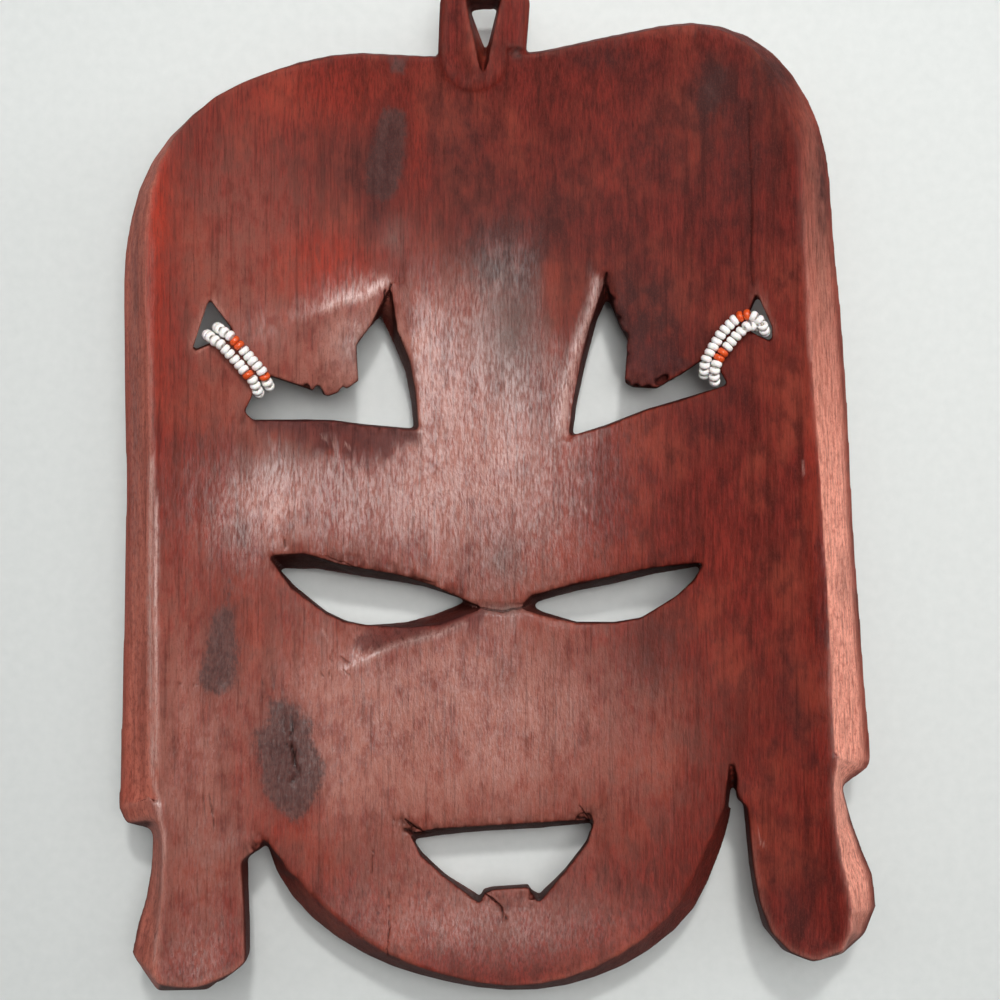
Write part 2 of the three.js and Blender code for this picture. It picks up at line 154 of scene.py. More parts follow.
def roll_share(x, y):
    """How full the hair roll is, 1 at its middle and 0 at its ends and edges."""
    return swell(roll_line(x, y) / ROLL["half_length"]) * swell(x / ROLL["half_width"])


def brow_line(x, y):
    """How far a point lies above the middle of the arched brow on its side."""
    return y - BROW["up"] + BROW["arch"] * ((np.abs(x) - BROW["side"]) / BROW["half_width"]) ** 2


def along_ear(y):
    """How far up the ear a height lies, from 0 at its foot to 1 at its top."""
    return np.clip((y - EAR["foot"]) / EAR["length"], 0, 1)


def ear_fullness(y):
    """How far the ear stands out at a height, 1 in its middle and 0 at its ends."""
    return np.sqrt(np.maximum(0, np.sin(along_ear(y) * math.pi)))


def nose_height(x, y):
    """How far the nose stands out, from its top between the eyes to its base over the lips."""
    along = np.clip((NOSE["top"] - y) / (NOSE["top"] - NOSE["tip"]), 0, 1)
    under = np.clip((y - NOSE["base"]) / (NOSE["tip"] - NOSE["base"]), 0, 1)
    width = NOSE["width"] + NOSE["widens"] * along**1.6
    height = NOSE["height"] + NOSE["rises"] * along**1.4
    return np.where(y > NOSE["top"], 0, height * np.sqrt(under) * bump(x / width))


def face_height(x, y, open_ended=False):
    """The face below: its hair roll, oval, brows, cheeks, nose, lips, lids and ears."""
    side = np.abs(x)
    on_brow = bump(brow_line(x, y) / BROW["half_length"]) * bump((side - BROW["side"]) / BROW["half_width"])
    forms = (
        (OVAL, 1 - soft_step(oval_share(x, y), 0.92, 1)),
        (ROLL, roll_share(x, y)),
        (BROW, on_brow),
        (CHEEK, bump(np.hypot(side - CHEEK["side"], y - CHEEK["up"]) / CHEEK["radius"])),
        (LIPS, bump(off_oval(x, y, LIPS) / LIPS["roundness"])),
        (LIDS, bump(off_oval(side, y, LIDS) / LIDS["roundness"])),
        (EAR, bump((side - EAR["side"]) / EAR["half_width"]) * ear_fullness(y)),
    )
    relief = sum(form["height"] * share for form, share in forms) + nose_height(x, y)
    height = FACE["level"] + dish(x, y, FACE) - relief
    return height if open_ended else np.maximum(0, height)


def carved_face(x, y):
    """The same face as the knife finished it: plaits, brow hairs, lids, nostrils, lips and ears."""
    side = np.abs(x)

    # A plaited roll with a parting along it, combed hair above it, and the hairline round the face.
    roll = roll_share(x, y)
    rope = np.abs(np.sin((x + PLAIT["slant"] * (y - ROLL["up"]) * np.sign(x)) * math.pi / PLAIT["pitch"]))
    plait = PLAIT["depth"] * (rope**0.7 - 1) - PLAIT["parting"] * groove(roll_line(x, y), 1.2)
    plait = soft_step(ROLL["half_width"] - side, 0, 10) * roll * plait
    above = soft_step(y + ROLL["droop"] * x * x, 99, 104)
    combed = -COMBED["depth"] * above * strokes(x + 0.12 * x * (y - 100) / 30, COMBED["pitch"])
    hairline = -0.8 * groove(oval_share(x, y) * 60 - 58.5, 1.1) * (y > -20) * (y < 74)

    # Slanting brow hairs, and full lids with a crease above and below the eye.
    arch = brow_line(x, y)
    on_brow = bump(arch / 6) * bump((side - BROW["side"]) / 30)
    brow_hairs = -BROW_HAIRS["depth"] * on_brow * strokes(side + 0.5 * arch, BROW_HAIRS["pitch"])
    off_eye = off_oval(side, y, LIDS)
    on_lid = soft_step(side, 9, 18) * (1 - soft_step(side, 54, 60))
    crease = np.where(y > LIDS["up"], 0.9 * groove(off_eye - 4.2, 0.8), 0.45 * groove(off_eye - 3, 0.9))
    lids = on_lid * (0.6 * bump((off_eye - 1) / 2.4) - crease)

    # The wings of the nose with their nostrils, the edge of the lips and the hollow above them.
    off_wing = np.hypot((side - WING["side"]) / WING["half_width"], (y - WING["up"]) / WING["half_length"])
    wings = WING["height"] * bump(off_wing)
    off_nostril = np.hypot(side - NOSTRIL["side"], y - NOSTRIL["up"])
    wings -= NOSTRIL["depth"] * groove(off_nostril, NOSTRIL["width"])
    off_mouth = off_oval(x, y, LIPS)
    lips = 0.8 * bump((off_mouth - 2.5) / 3) - 0.9 * groove(off_mouth - 7.6, 0.9)
    philtrum = -0.7 * groove(x, 2.2) * bump((y + 79.5) / 4)

    # The rims and folds of the ears. The roll and the ears end softly, not in a step.
    ear = ear_fullness(y)
    rim = EAR["side"] + 2.2 * np.cos(along_ear(y) * 2 * math.pi)
    ears = bump((side - rim + 4) / 3.4) + bump((side - rim - 3.4) / 3)
    ears = ear**2 * (ears - 1.6 * groove(side - rim, 1.8))
    blunt_ends = ROLL["height"] * roll * (1 - soft_step(ROLL["half_width"] - side, 0, 12))
    on_ear = EAR["height"] * bump((side - EAR["side"]) / EAR["half_width"])
    blunt_ends += on_ear * ear * (1 - soft_step(ear**2, 0, 0.5))
    ears -= blunt_ends

    fine = plait + combed + hairline + brow_hairs + lids + wings + lips + philtrum + ears
    height = face_height(x, y, open_ended=True) - fine
    return np.where(height > EASE, height, (np.maximum(height, -EASE) + EASE) ** 2 / (4 * EASE))


def flats(x, y, height_at, pitch, from_right):
    """The height of the solid's three-cornered flats, whose corners lie on a grid."""
    # The part's source rounds a half up, so a little is added here.
    columns = round(BLOCK["width"] / pitch + 1e-6)
    rows = round(BLOCK["length"] / pitch)
    step_x, step_y = BLOCK["width"] / columns, BLOCK["length"] / rows
    left, top = -BLOCK["width"] / 2, BLOCK["middle_y"] + BLOCK["length"] / 2
    column = np.clip(np.floor((x - left) / step_x), 0, columns - 1)
    row = np.clip(np.floor((top - y) / step_y), 0, rows - 1)
    across = (x - left) / step_x - column
    down = (top - y) / step_y - row
    near, far = (1, 0) if from_right else (0, 1)
    across = 1 - across if from_right else across

    def corner(side, low):
        return height_at(left + (column + side) * step_x, top - (row + low) * step_y)

    near_top, near_low = corner(near, 0), corner(near, 1)
    far_low, far_top = corner(far, 1), corner(far, 0)
    upper = near_top + across * (far_top - near_top) + down * (near_low - near_top)
    lower = far_low + (1 - across) * (near_low - far_low) + (1 - down) * (far_top - far_low)
    return np.where(across + down < 1, upper, lower)


def read_points(piece):
    """Where the piece's points lie, in millimetres."""
    flat = np.empty(len(piece.data.vertices) * 3)
    piece.data.vertices.foreach_get("co", flat)
    return flat.reshape(-1, 3) / MM


def write_points(piece, points):
    """Moves the piece's points to these places, in millimetres."""
    piece.data.vertices.foreach_set("co", (points * MM).ravel())
    piece.data.update()


def read_normals(piece):
    """Which way the skin faces at each of the piece's points."""
    flat = np.empty(len(piece.data.vertices) * 3)
    piece.data.vertices.foreach_get("normal", flat)
    return flat.reshape(-1, 3)


def take_up(piece):
    """Makes the piece the only selected one."""
    bpy.ops.object.select_all(action="DESELECT")
    piece.select_set(True)
    bpy.context.view_layer.objects.active = piece


def finish_with(piece, kind, **settings):
    """Adds a modifier to the piece and applies it."""
    take_up(piece)
    modifier = piece.modifiers.new(kind.title(), kind)
    for name, value in settings.items():
        setattr(modifier, name, value)
    bpy.ops.object.modifier_apply(modifier=modifier.name)


def join_all(pieces):
    """Makes one piece of several, which takes the first one's place, and gives it."""
    take_up(pieces[0])
    for piece in pieces:
        piece.select_set(True)
    bpy.ops.object.join()
    bpy.ops.object.transform_apply(location=True, rotation=True, scale=True)
    return bpy.context.object


mask = bpy.data.objects.new("carved_mask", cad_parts["mask"].data.copy())
bpy.context.scene.collection.objects.link(mask)
mask.data.materials.clear()
take_up(mask)
bpy.ops.object.mode_set(mode="EDIT")
bpy.ops.mesh.select_all(action="SELECT")
bpy.ops.mesh.remove_doubles(threshold=1e-6)
bpy.ops.object.mode_set(mode="OBJECT")

# Chips out of the thin edges, each at its place with its length, width and depth and its turn in
# degrees about the upright. The first two go right through the wood, as notches in the left tab.
CHIPS = [
    ((-48, 25.2, 13), (1.5, 3, 24), 14), ((-41.6, 25, 13), (1.3, 3.3, 24), -10),
    ((-50.4, 26.2, 20.4), (1.6, 1.2, 3), 50), ((-38.6, 25.6, 18.8), (1.6, 1.2, 3), 35),
    ((30.3, 49.6, 19), (0.7, 1.2, 4), 20), ((31.9, 44.6, 19), (0.8, 1, 4), -15),
    ((33.7, 39.8, 19), (0.9, 1.5, 4), 12), ((34, 35, 19), (0.7, 0.9, 4), 0),
    ((-22.2, -90.4, 19), (2.2, 0.8, 3), 30), ((22.2, -86.8, 19), (1.8, 0.7, 3), 35),
    ((33.6, 26.4, 19.4), (1.5, 2.2, 2.6), -20), ((36.8, 25.4, 19), (1.4, 2.6, 2.4), 15),
    ((39.4, 25.8, 19.6), (1.8, 1.5, 1.8), 40), ((43.4, 28.4, 19.8), (3, 1.3, 2), 32),
    ((47.3, 30.8, 20.2), (1.8, 0.9, 1.4), 30), ((-4.9, -107.1, 19.2), (1.6, 2.2, 2.4), 20),
    ((8.9, -107.9, 19.4), (1.4, 2.6, 2.2), -25), ((-21.8, -90.4, 19.6), (2.8, 1.6, 2), -20),
    ((22.8, -87.6, 19), (2.8, 1.6, 2), 15), ((-64.4, -93.6, 26.5), (3, 1, 3), 15),
    ((-8, -89.9, 18.9), (5, 0.7, 0.9), 2),
    ((8, -89.3, 18.9), (6, 0.7, 0.8), 2), ((-36, -20.2, 18.9), (7, 0.8, 1.2), -8),
    ((-20, -25, 18.7), (6, 0.9, 1.1), -14), ((20, -26.2, 18.7), (7, 0.8, 1), 13),
    ((-66.9, 18.6, 22.6), (1.3, 1.6, 2.4), 30), ((-60.2, 28.6, 23), (0.8, 0.7, 1.4), 0),
]
cutters = []
for place, size, turn in CHIPS:
    bpy.ops.mesh.primitive_ico_sphere_add(
        subdivisions=1, radius=MM, location=Vector(place) * MM, scale=size,
        rotation=(0.12, 0.1, math.radians(turn)),
    )
    cutters.append(bpy.context.object)
chips = join_all(cutters)
finish_with(mask, "BOOLEAN", object=chips, operation="DIFFERENCE", solver="EXACT", use_self=True)
bpy.data.objects.remove(chips)

# The knife leaves no dead flat, so the skin is made fine and even, with points this many millimetres
# apart, before it is worked.
FINE = 0.55
finish_with(mask, "REMESH", mode="VOXEL", voxel_size=FINE * MM)

# The solid's flats become curves. A point inside the wood keeps its share of the thickness.
points = read_points(mask)
x, y, z = points.T
drawn_x, drawn_y = x + MIDDLE[0], y + MIDDLE[1]
back_flats = flats(drawn_x, drawn_y, back_height, HOLLOW["pitch"], from_right=False)
face_flats = flats(drawn_x, drawn_y, face_height, FACE["pitch"], from_right=True)
share = np.clip((z - face_flats) / (back_flats - face_flats), 0, 1)
points[:, 2] += share * (back_height(drawn_x, drawn_y) - back_flats)
points[:, 2] += (1 - share) * (carved_face(drawn_x, drawn_y) - face_flats)
write_points(mask, points)


def skin_share(piece):
    """How high each point lies in the wood, from 0 on the face to 1 on the hollow back."""
    x, y, z = read_points(piece).T
    low = face_height(x + MIDDLE[0], y + MIDDLE[1])
    high = back_height(x + MIDDLE[0], y + MIDDLE[1])
    return np.clip((z - low) / (high - low), 0, 1)


def outward_bend(piece):
    """How sharply the skin bends outwards at each point: about 0 on a flat and 1 on a square edge."""
    pairs = np.empty(len(piece.data.edges) * 2, dtype=np.int64)
    piece.data.edges.foreach_get("vertices", pairs)
    one, other = pairs.reshape(-1, 2).T
    points = read_points(piece)
    count = np.bincount(one, minlength=len(points)) + np.bincount(other, minlength=len(points))

    def around(values):
        total = np.bincount(one, values[other], len(points))
        return (total + np.bincount(other, values[one], len(points))) / np.maximum(count, 1)

    pull = np.stack([around(points[:, i]) - points[:, i] for i in range(3)], axis=1)
    bend = -np.sum(pull * read_normals(piece), axis=1)
    for _ in range(3):
        bend = 0.5 * bend + 0.5 * around(bend)
    return bend


def give_weights(piece, name, weights):
    """Puts numbers from 0 to 1 in a vertex group of the piece, in steps of a twentieth."""
    group = piece.vertex_groups.new(name=name)
    steps = np.round(np.clip(weights, 0, 1) * 20).astype(int)
    for step in range(1, 21):
        group.add(np.flatnonzero(steps == step).tolist(), step / 20, "REPLACE")


RIM = {"up": -20, "half_length": 106}


def rim_share(x, y, half_width):
    """1 on an oval along the rim of the back, and less inside it."""
    return np.hypot(x / half_width, (y - RIM["up"]) / RIM["half_length"])


# The ridge round the back is rubbed round by hands, and the outline was rubbed down to flowing
# curves. The edges of the openings are as the knife left them, and the loop and the bands with
# their holes keep their edges too. The left bevel runs out softly at its foot.
BEVEL_FOOT = {"across": -92, "up": -81, "half_width": 14, "half_length": 11}
x, y, z = read_points(mask).T
by_the_rim = soft_step(rim_share(x, y, 82), 0.98, 1.05) * (y < 112)
by_the_rim *= 1 - (np.abs(x) < 84) * (y > 28) * (y < 57)
off_foot_x = (x - BEVEL_FOOT["across"]) / BEVEL_FOOT["half_width"]
off_foot_y = (y - BEVEL_FOOT["up"]) / BEVEL_FOOT["half_length"]
share = skin_share(mask)
give_weights(mask, "ridge", by_the_rim * soft_step(share, 0.5, 0.8))
give_weights(mask, "outline", by_the_rim)
finish_with(mask, "SMOOTH", factor=0.5, iterations=10, vertex_group="ridge")
finish_with(mask, "SMOOTH", factor=0.5, iterations=20, vertex_group="outline", use_z=False)
give_weights(mask, "bevel_foot", soft_step(np.hypot(off_foot_x, off_foot_y), 1, 0.5))
finish_with(mask, "SMOOTH", factor=0.5, iterations=40, vertex_group="bevel_foot", use_x=False, use_y=False)
give_weights(mask, "front", 1 - soft_step(share, 0.2, 0.6))
finish_with(mask, "SMOOTH", factor=0.5, iterations=3, vertex_group="front")
finish_with(mask, "SMOOTH", factor=0.3, iterations=1)
bend = outward_bend(mask)
give_weights(mask, "worn_edge", bend / 0.075)
give_weights(mask, "sharp_edge", (bend - 0.06) / 0.1)
give_weights(mask, "recess_shade", -bend / 0.05)


def waves(x, y, length, seed):
    """Gentle seeded unevenness, from about -1 to 1, whose swells are about this long in millimetres."""
    chance = np.random.default_rng(seed)
    total = np.zeros_like(x)
    for _ in range(9):
        turn, start = chance.uniform(0, 2 * math.pi, 2)
        stretch = length * chance.uniform(0.7, 1.5)
        total += np.sin((x * math.cos(turn) + y * math.sin(turn)) * 2 * math.pi / stretch + start)
    return total / 4


def line_distance(line, x, y):
    """The distance from each point to a line of straight stretches."""
    nearest = np.full_like(x, 1e9)
    for (ax, ay), (bx, by) in zip(line, line[1:]):
        across, up = bx - ax, by - ay
        along = np.clip(((x - ax) * across + (y - ay) * up) / (across**2 + up**2), 0, 1)
        nearest = np.minimum(nearest, np.hypot(x - ax - along * across, y - ay - along * up))
    return nearest


def depth_inside(outline, x, y):
    """How deep each point lies inside a closed outline, and less than 0 outside it."""
    closed = outline + outline[:1]
    inside = np.zeros(x.shape, bool)
    for (ax, ay), (bx, by) in zip(closed, closed[1:]):
        if ay != by:
            crosses = (ay > y) != (by > y)
            inside ^= crosses & (x < (bx - ax) * (y - ay) / (by - ay) + ax)
    return np.where(inside, 1, -1) * line_distance(closed, x, y)


def splinters(points, size, seed):
    """Seeded unevenness from about -0.5 to 0.5 with sharp creases, as wood breaks, of this size in mm."""
    shift = Vector((seed * 7.3, seed * 3.1, seed * 5.7))
    places = [Vector(point) / size + shift for point in points.tolist()]
    return np.array([noise.noise(place, noise_basis="VORONOI_F1") for place in places]) / 2


# What the knife did on the back: facets that fall away from a ridge towards an opening, each with
# its ridge, the line that it stops at, how far it reaches and how steeply it falls, and the x it
# starts and ends at. A ridge stands up a little where the strokes from both sides meet.
FACETS = [
    ([(-46, -49.6), (-39.8, -47.8), (-32, -43.6), (-24.1, -40.8), (-15.4, -38.7), (-6.7, -34.8),
      (-0.9, -33.5)], [(-60, -24), (-8, -31.2)], 10, 0.6, -34, -8),
    ([(8, -34), (14.4, -36.8), (21.7, -38.2), (30, -38.8)], [(8, -31), (54, -19)], 5, 0.2, 11, 21),
    ([(-52, 44), (-45.2, 46.6), (-40.1, 49.1), (-34.9, 50.4), (-28.9, 54)],
     [(-60, 22), (0, 22)], 30, -0.12, -46, -25),
]
ROLLED_EDGE = [(28.3, 55), (26.9, 47.4), (24.1, 40.3), (21.3, 31.1), (19.4, 22.9), (18.5, 13.7)]
BRIDGE = [(-5.2, -31.6), (2, -32.4), (8.2, -31.2)]
# Ridges that stand proud and are rubbed light, with a painted highlight along them, each with the
# width and strength of the rubbed line.
RUBBED_HIGHLIGHTS = [
    ([(26.4, 54), (25.1, 47), (22.4, 40), (19.6, 31), (17.8, 23), (17.2, 15)], 1.5, 0.9),
    ([(-44.8, 47.4), (-40.1, 49.6), (-34.9, 51), (-30, 53.8)], 1.6, 0.8),
    ([(-40.5, -48), (-34, -44.7), (-28.5, -42.2), (-22, -40.4), (-15.4, -38.7), (-9, -36.2)], 0.9, 0.45),
    ([(-88.2, 62), (-88.4, 8)], 0.6, 0.12), ([(-88.4, 6), (-88.9, -30), (-88.6, -74)], 0.75, 1.0),
    ([(-87.1, -8), (-87.4, -40), (-87.2, -72)], 0.55, 0.9),
    ([(-87.8, -74), (-86.4, -83), (-85.3, -90), (-86.2, -102), (-87.2, -114), (-87.6, -121)], 0.6, 0.7),
    ([(-53, 45.2), (-44.8, 47.4)], 1.5, 0.35),
]
# Torn fibres, by the line they follow, how far they reach from it and how rough they are.
TORN = [
    ([(-57, -20), (-40, -19.5), (-22, -24), (-10, -29)], 2.6, 0.5),
    ([(-68, 17.6), (-58, 17.8), (-44, 16.6), (-32, 15.2), (-23, 14.4)], 1.8, 0.5),
    ([(9, -29.5), (24, -25.5), (38, -22.5), (52, -19.5)], 2.2, 0.3),
    ([(-25.5, -88.5), (-20, -90.5), (0, -90), (20, -88.5), (26, -86)], 3, 0.5),
    ([(-4, -106.5), (0, -109), (8, -108.5)], 2.5, 0.35), ([(-46, 27), (-37, 26)], 3, 0.3),
    ([(33, 27), (40, 27), (47, 31.5)], 3.4, 0.5), ([(-66, -94), (-60, -92)], 3, 0.6),
    ([(28.5, 54), (31, 46), (33, 38), (34, 29)], 2, 0.5), ([(3.6, 114.6), (5.6, 112.6)], 2, 0.6),
]
points = read_points(mask)
x, y, z = points.T
on_back = soft_step(skin_share(mask), 0.35, 0.9)
fall = np.zeros_like(x)
for ridge, stop, reach, slope, start, end in FACETS:
    towards = math.copysign(1, slope)
    beyond = (y - np.interp(x, *zip(*ridge))) * towards > 0
    before = (np.interp(x, *zip(*stop)) - y) * towards > 0
    inside = soft_step(x, start - 10, start + 3) * (1 - soft_step(x, end - 4, end + 3))
    distance = np.where(beyond & before, line_distance(ridge, x, y), 0)
    fall += inside * abs(slope) * np.minimum(distance, reach)
    fall -= inside * 0.1 * groove(line_distance(ridge, x, y), 1.4)
# The rolled edge and the bridge are lower, and the adze left slow swells all over.
fall += 1.2 * np.maximum(0, 1 - line_distance(ROLLED_EDGE, x, y) / 3) ** 2
fall += 0.7 * bump(line_distance(BRIDGE, x, y) / 2.2)
fall += 0.28 * waves(x, y * 0.6, 34, 4) + 0.1 * waves(x, y * 0.5, 13, 9)
fall += 0.035 * waves(x, y * 0.25, 4, 15)
ragged = np.zeros_like(x)
along_grain = points * (1, 0.45, 1)
for line, reach, depth in TORN:
    torn = np.maximum(0, 1 - line_distance(line, x, y) / reach)
    near = torn > 0
    lumps = np.zeros_like(x)
    lumps[near] = splinters(along_grain[near], 1.5, 3) + 0.7 * splinters(along_grain[near], 0.7, 5)
    fall += depth * torn**0.5 * (0.2 + lumps)
    ragged = np.maximum(ragged, torn**0.5 * np.clip(0.3 + lumps, 0, 1))
# The foot of the loop is cut back nearly to the hollow, all round.
LOOP_FOOT = {"across": -6.15, "up": 113.5, "radius": 9.6, "end": 114}
foot = np.hypot(x - LOOP_FOOT["across"], y - LOOP_FOOT["up"]) < LOOP_FOOT["radius"]
foot &= y < LOOP_FOOT["end"]
hollow = back_height(x + MIDDLE[0], y + MIDDLE[1])
points[:, 2] = np.where(foot & (on_back > 0), np.minimum(z, hollow + 0.4), z)
points[:, 2] -= on_back * fall

# The inner walls of the two lobes are undercut: the edge of the back stands over them by so many
# millimetres, and they lean back out with the depth. Each is a line and the side that it faces.
UNDERCUT = {"overhang": 2.7, "lean": 0.17}
LOBE_WALLS = [
    ([(67.2, -76), (68, -90), (69.4, -103), (73.5, -116), (79, -122)], 1),
    ([(-67, -97), (-66.2, -110), (-66.6, -124), (-72, -130)], -1),
]
depth = np.maximum(0, hollow - z)
for wall, side in LOBE_WALLS:
    near = soft_step(line_distance(wall, x, y), 9, 2) * (y > -128) * soft_step(-y, 74, 82)
    points[:, 0] += side * (UNDERCUT["lean"] * depth - UNDERCUT["overhang"]) * near
points[:, 2] = np.maximum(points[:, 2], 0)
write_points(mask, points)
give_weights(mask, "ragged", ragged * on_back)

# The mesh is thinned, most of all where the skin is smooth, to stay under 200,000 triangles.
finish_with(mask, "DECIMATE", ratio=0.175)

# Cracks, grooves and knife marks: each line with its width and depth.
CRACKS = [
    ([(-53.4, -63.8), (-53.9, -64.5), (-54.1, -65.4)], 0.32, 0.9),
    ([(-55.4, -65.6), (-55.2, -66.8), (-54.6, -68)], 0.22, 0.4),
    ([(-53.9, -67.7), (-53.6, -69.2), (-53.1, -70.4), (-53.2, -71.6), (-52.6, -73.8)], 0.5, 1.2),
    ([(-51.5, -74.2), (-52.3, -75.2), (-53.4, -77.2)], 0.52, 1.2),
    ([(-57, -77.8), (-56.1, -78.6), (-55.5, -79.8)], 0.3, 0.8),
    ([(-32.8, -95.8), (-33, -101.4)], 0.2, 0.3),
    ([(-28.7, -105.3), (-28.3, -114.4), (-28.7, -122.1)], 0.24, 0.35),
    ([(-75.9, -79), (-75.5, -83.6)], 0.22, 0.3),
    ([(-74.4, -79.6), (-73.7, -83.5), (-73.2, -86.9)], 0.22, 0.35),
    ([(-64.8, -69.1), (-64.2, -72.8)], 0.2, 0.25),
    ([(-81.7, -50.4), (-79.5, -50.9), (-76.8, -51.2)], 0.22, 0.35),
    ([(65.2, 99.8), (65.3, 90.3), (65.8, 78.2), (65.8, 68.6)], 0.5, 0.15),
    ([(65.8, 72), (65.8, 68.6), (65.6, 56.6), (66.3, 51.8)], 0.5, 0.3),
    ([(-24.2, -90.4), (-21.4, -91.8), (-18.2, -92.4)], 1.0, 0.9),
    ([(-24.4, -87.8), (-19.5, -91.4)], 0.4, 0.7),
    ([(21.7, -84.1), (24.4, -88.6)], 0.35, 0.5), ([(21.4, -87.2), (24.6, -88.8)], 0.8, 0.7),
    ([(-5.2, -31.9), (1.2, -33), (8.2, -31.6)], 0.45, 0.4),
    ([(-28.3, 53.2), (-28.6, 49.2), (-29.3, 43.4)], 0.3, 0.9),
    ([(-29.6, 51.9), (-30.3, 47.9), (-31, 43.2)], 0.26, 0.7),
    ([(28.8, 56.3), (28.3, 52.9), (28, 49.2)], 0.45, 0.9),
    ([(-3.4, -106.6), (0.3, -109.3), (2.2, -113)], 0.34, 0.7),
    ([(-45.2, -47.6), (-42.3, -50.6)], 0.26, 0.35), ([(-41.3, -44.8), (-38.8, -46.6)], 0.24, 0.3),
    ([(-44.4, -44.5), (-43.3, -45.6)], 0.22, 0.3), ([(-48.2, -47.6), (-45.6, -49.7)], 0.22, 0.25),
    ([(-45.2, -50.8), (-43.9, -52.1)], 0.22, 0.25), ([(-40.2, -48), (-38.4, -50.4)], 0.22, 0.3),
    ([(-30.4, -38.2), (-27.6, -41.4)], 0.22, 0.2), ([(-27.6, -37), (-25, -40.2)], 0.22, 0.2),
    ([(-24.6, -36.2), (-22.2, -39.2)], 0.22, 0.2), ([(-33.6, -39.2), (-31, -42.4)], 0.22, 0.2),
    ([(-55.7, -13.9), (-55.4, -15.7)], 0.4, 0.5), ([(-61.6, -51), (-56.2, -53.4)], 0.2, 0.22),
    ([(-56.4, -52.9), (-52.6, -54.6)], 0.2, 0.22), ([(-64, -54.2), (-58.6, -55.4)], 0.18, 0.18),
    ([(-23.9, -88.2), (-22.6, -89.6), (-21, -90.4)], 0.3, 0.6),
    ([(-45.2, -18.2), (-37, -21.4)], 0.3, 0.35),
    ([(78.9, 3.6), (79.1, -1.6)], 0.16, 0.12), ([(80.6, -39.8), (83.2, -40.4)], 0.16, 0.12),
    ([(0.4, 27.2), (0.9, 26.2)], 0.3, 0.3),
]
# Light scratches through the stain.
SCRATCHES = [
    [(-62.1, 13.9), (-60.4, 12), (-58, 10.4)], [(-45.9, 13.1), (-42.9, 10.6)],
    [(-40.9, 12.4), (-38.4, 9.7)], [(78.6, 6.6), (78.8, 3.2)], [(67.5, -91.4), (71.6, -95)],
    [(-46, -37), (-44.6, -40.2)], [(22, -4), (23.4, -6.2)],
]
# The mesh is made finer within this many millimetres of them.
WORKED_REACH = 1.4
points = read_points(mask)
near_crack = np.full(len(points), 1e9)
for line in [crack[0] for crack in CRACKS] + SCRATCHES:
    near_crack = np.minimum(near_crack, line_distance(line, points[:, 0], points[:, 1]))
worked = (near_crack < WORKED_REACH) & (skin_share(mask) > 0.6)
corners = np.empty(len(mask.data.loops), dtype=np.int64)
mask.data.loops.foreach_get("vertex_index", corners)
starts = np.empty(len(mask.data.polygons), dtype=np.int64)
mask.data.polygons.foreach_get("loop_start", starts)
faces_worked = worked[corners[starts]]
take_up(mask)
bpy.ops.object.mode_set(mode="EDIT")
bpy.ops.mesh.select_mode(type="FACE")
bpy.ops.mesh.select_all(action="DESELECT")
bpy.ops.object.mode_set(mode="OBJECT")
mask.data.polygons.foreach_set("select", faces_worked)
bpy.ops.object.mode_set(mode="EDIT")
bpy.ops.mesh.subdivide(number_cuts=3)
bpy.ops.mesh.quads_convert_to_tris()
bpy.ops.object.mode_set(mode="OBJECT")

points = read_points(mask)
x, y = points[:, 0], points[:, 1]
on_back = soft_step(skin_share(mask), 0.35, 0.9)
# The cracks are painted near black as the shade in them.
crack_shade = np.zeros(len(points))
wander = 0.14 * waves(x, y, 2.3, 21)
for line, width, depth in CRACKS:
    cut_and_shade = groove(line_distance(line, x + wander, y + wander), 0.55 * width)
    points[:, 2] -= on_back * depth * cut_and_shade
    crack_shade = np.maximum(crack_shade, on_back * cut_and_shade * min(1, 0.35 + depth))
scratched = np.zeros(len(points))
for line in SCRATCHES:
    scratched = np.maximum(scratched, on_back * groove(line_distance(line, x, y), 0.26))
points[:, 2] -= 0.05 * scratched
write_points(mask, points)
take_up(mask)
bpy.ops.object.shade_smooth()


def keep_value(piece, name, values):
    """Keeps a number at each point of the piece, for its material to read."""
    attribute = piece.data.attributes.new(name, "FLOAT", "POINT")
    attribute.data.foreach_set("value", np.asarray(values, dtype=np.float32))


# Dark knots and stains, by their outlines.
KNOTS = [
    [(-59.5, -55.1), (-54.9, -56), (-52.3, -57.4), (-48.6, -61.3), (-49.1, -65.5), (-44.7, -73.9),
     (-47, -79.7), (-49.1, -83.4), (-52.3, -87.9), (-55.4, -85.9), (-60.6, -80.3), (-61.6, -72.8),
     (-63.9, -67.4), (-63.4, -63.5), (-59.8, -62.3), (-59.3, -59.1)],
    [(-29.6, 99.2), (-25, 98.5), (-24, 94.8), (-25.1, 84.3), (-27.3, 76.4), (-30.5, 75.3),
     (-34.3, 77.8), (-34.2, 87.4), (-32.6, 89.6), (-31.5, 94.8)],
    [(58.1, 109.1), (59.3, 107.9), (58.2, 101.4), (56.4, 98.2), (53.6, 96.9), (52.6, 99.3),
     (53, 104), (54.9, 107.2)],
    [(-69.8, -30.5), (-73.1, -31.8), (-74.3, -37.4), (-75.2, -42.6), (-76.5, -46.8), (-76.8, -50.4),
     (-75.5, -52.8), (-71.5, -53.6), (-68, -51.4), (-67.4, -45.4), (-67.7, -38.8), (-68.7, -32.2)],
    [(-28, 112.3), (-23.9, 111.8), (-24.4, 108.3), (-27.6, 108.1)],
    [(-69.3, -22.3), (-69.6, -27.9), (-68.3, -27.8)],
    [(3.6, 114.6), (5.8, 114.4), (6, 112.2), (3.8, 112)],
]
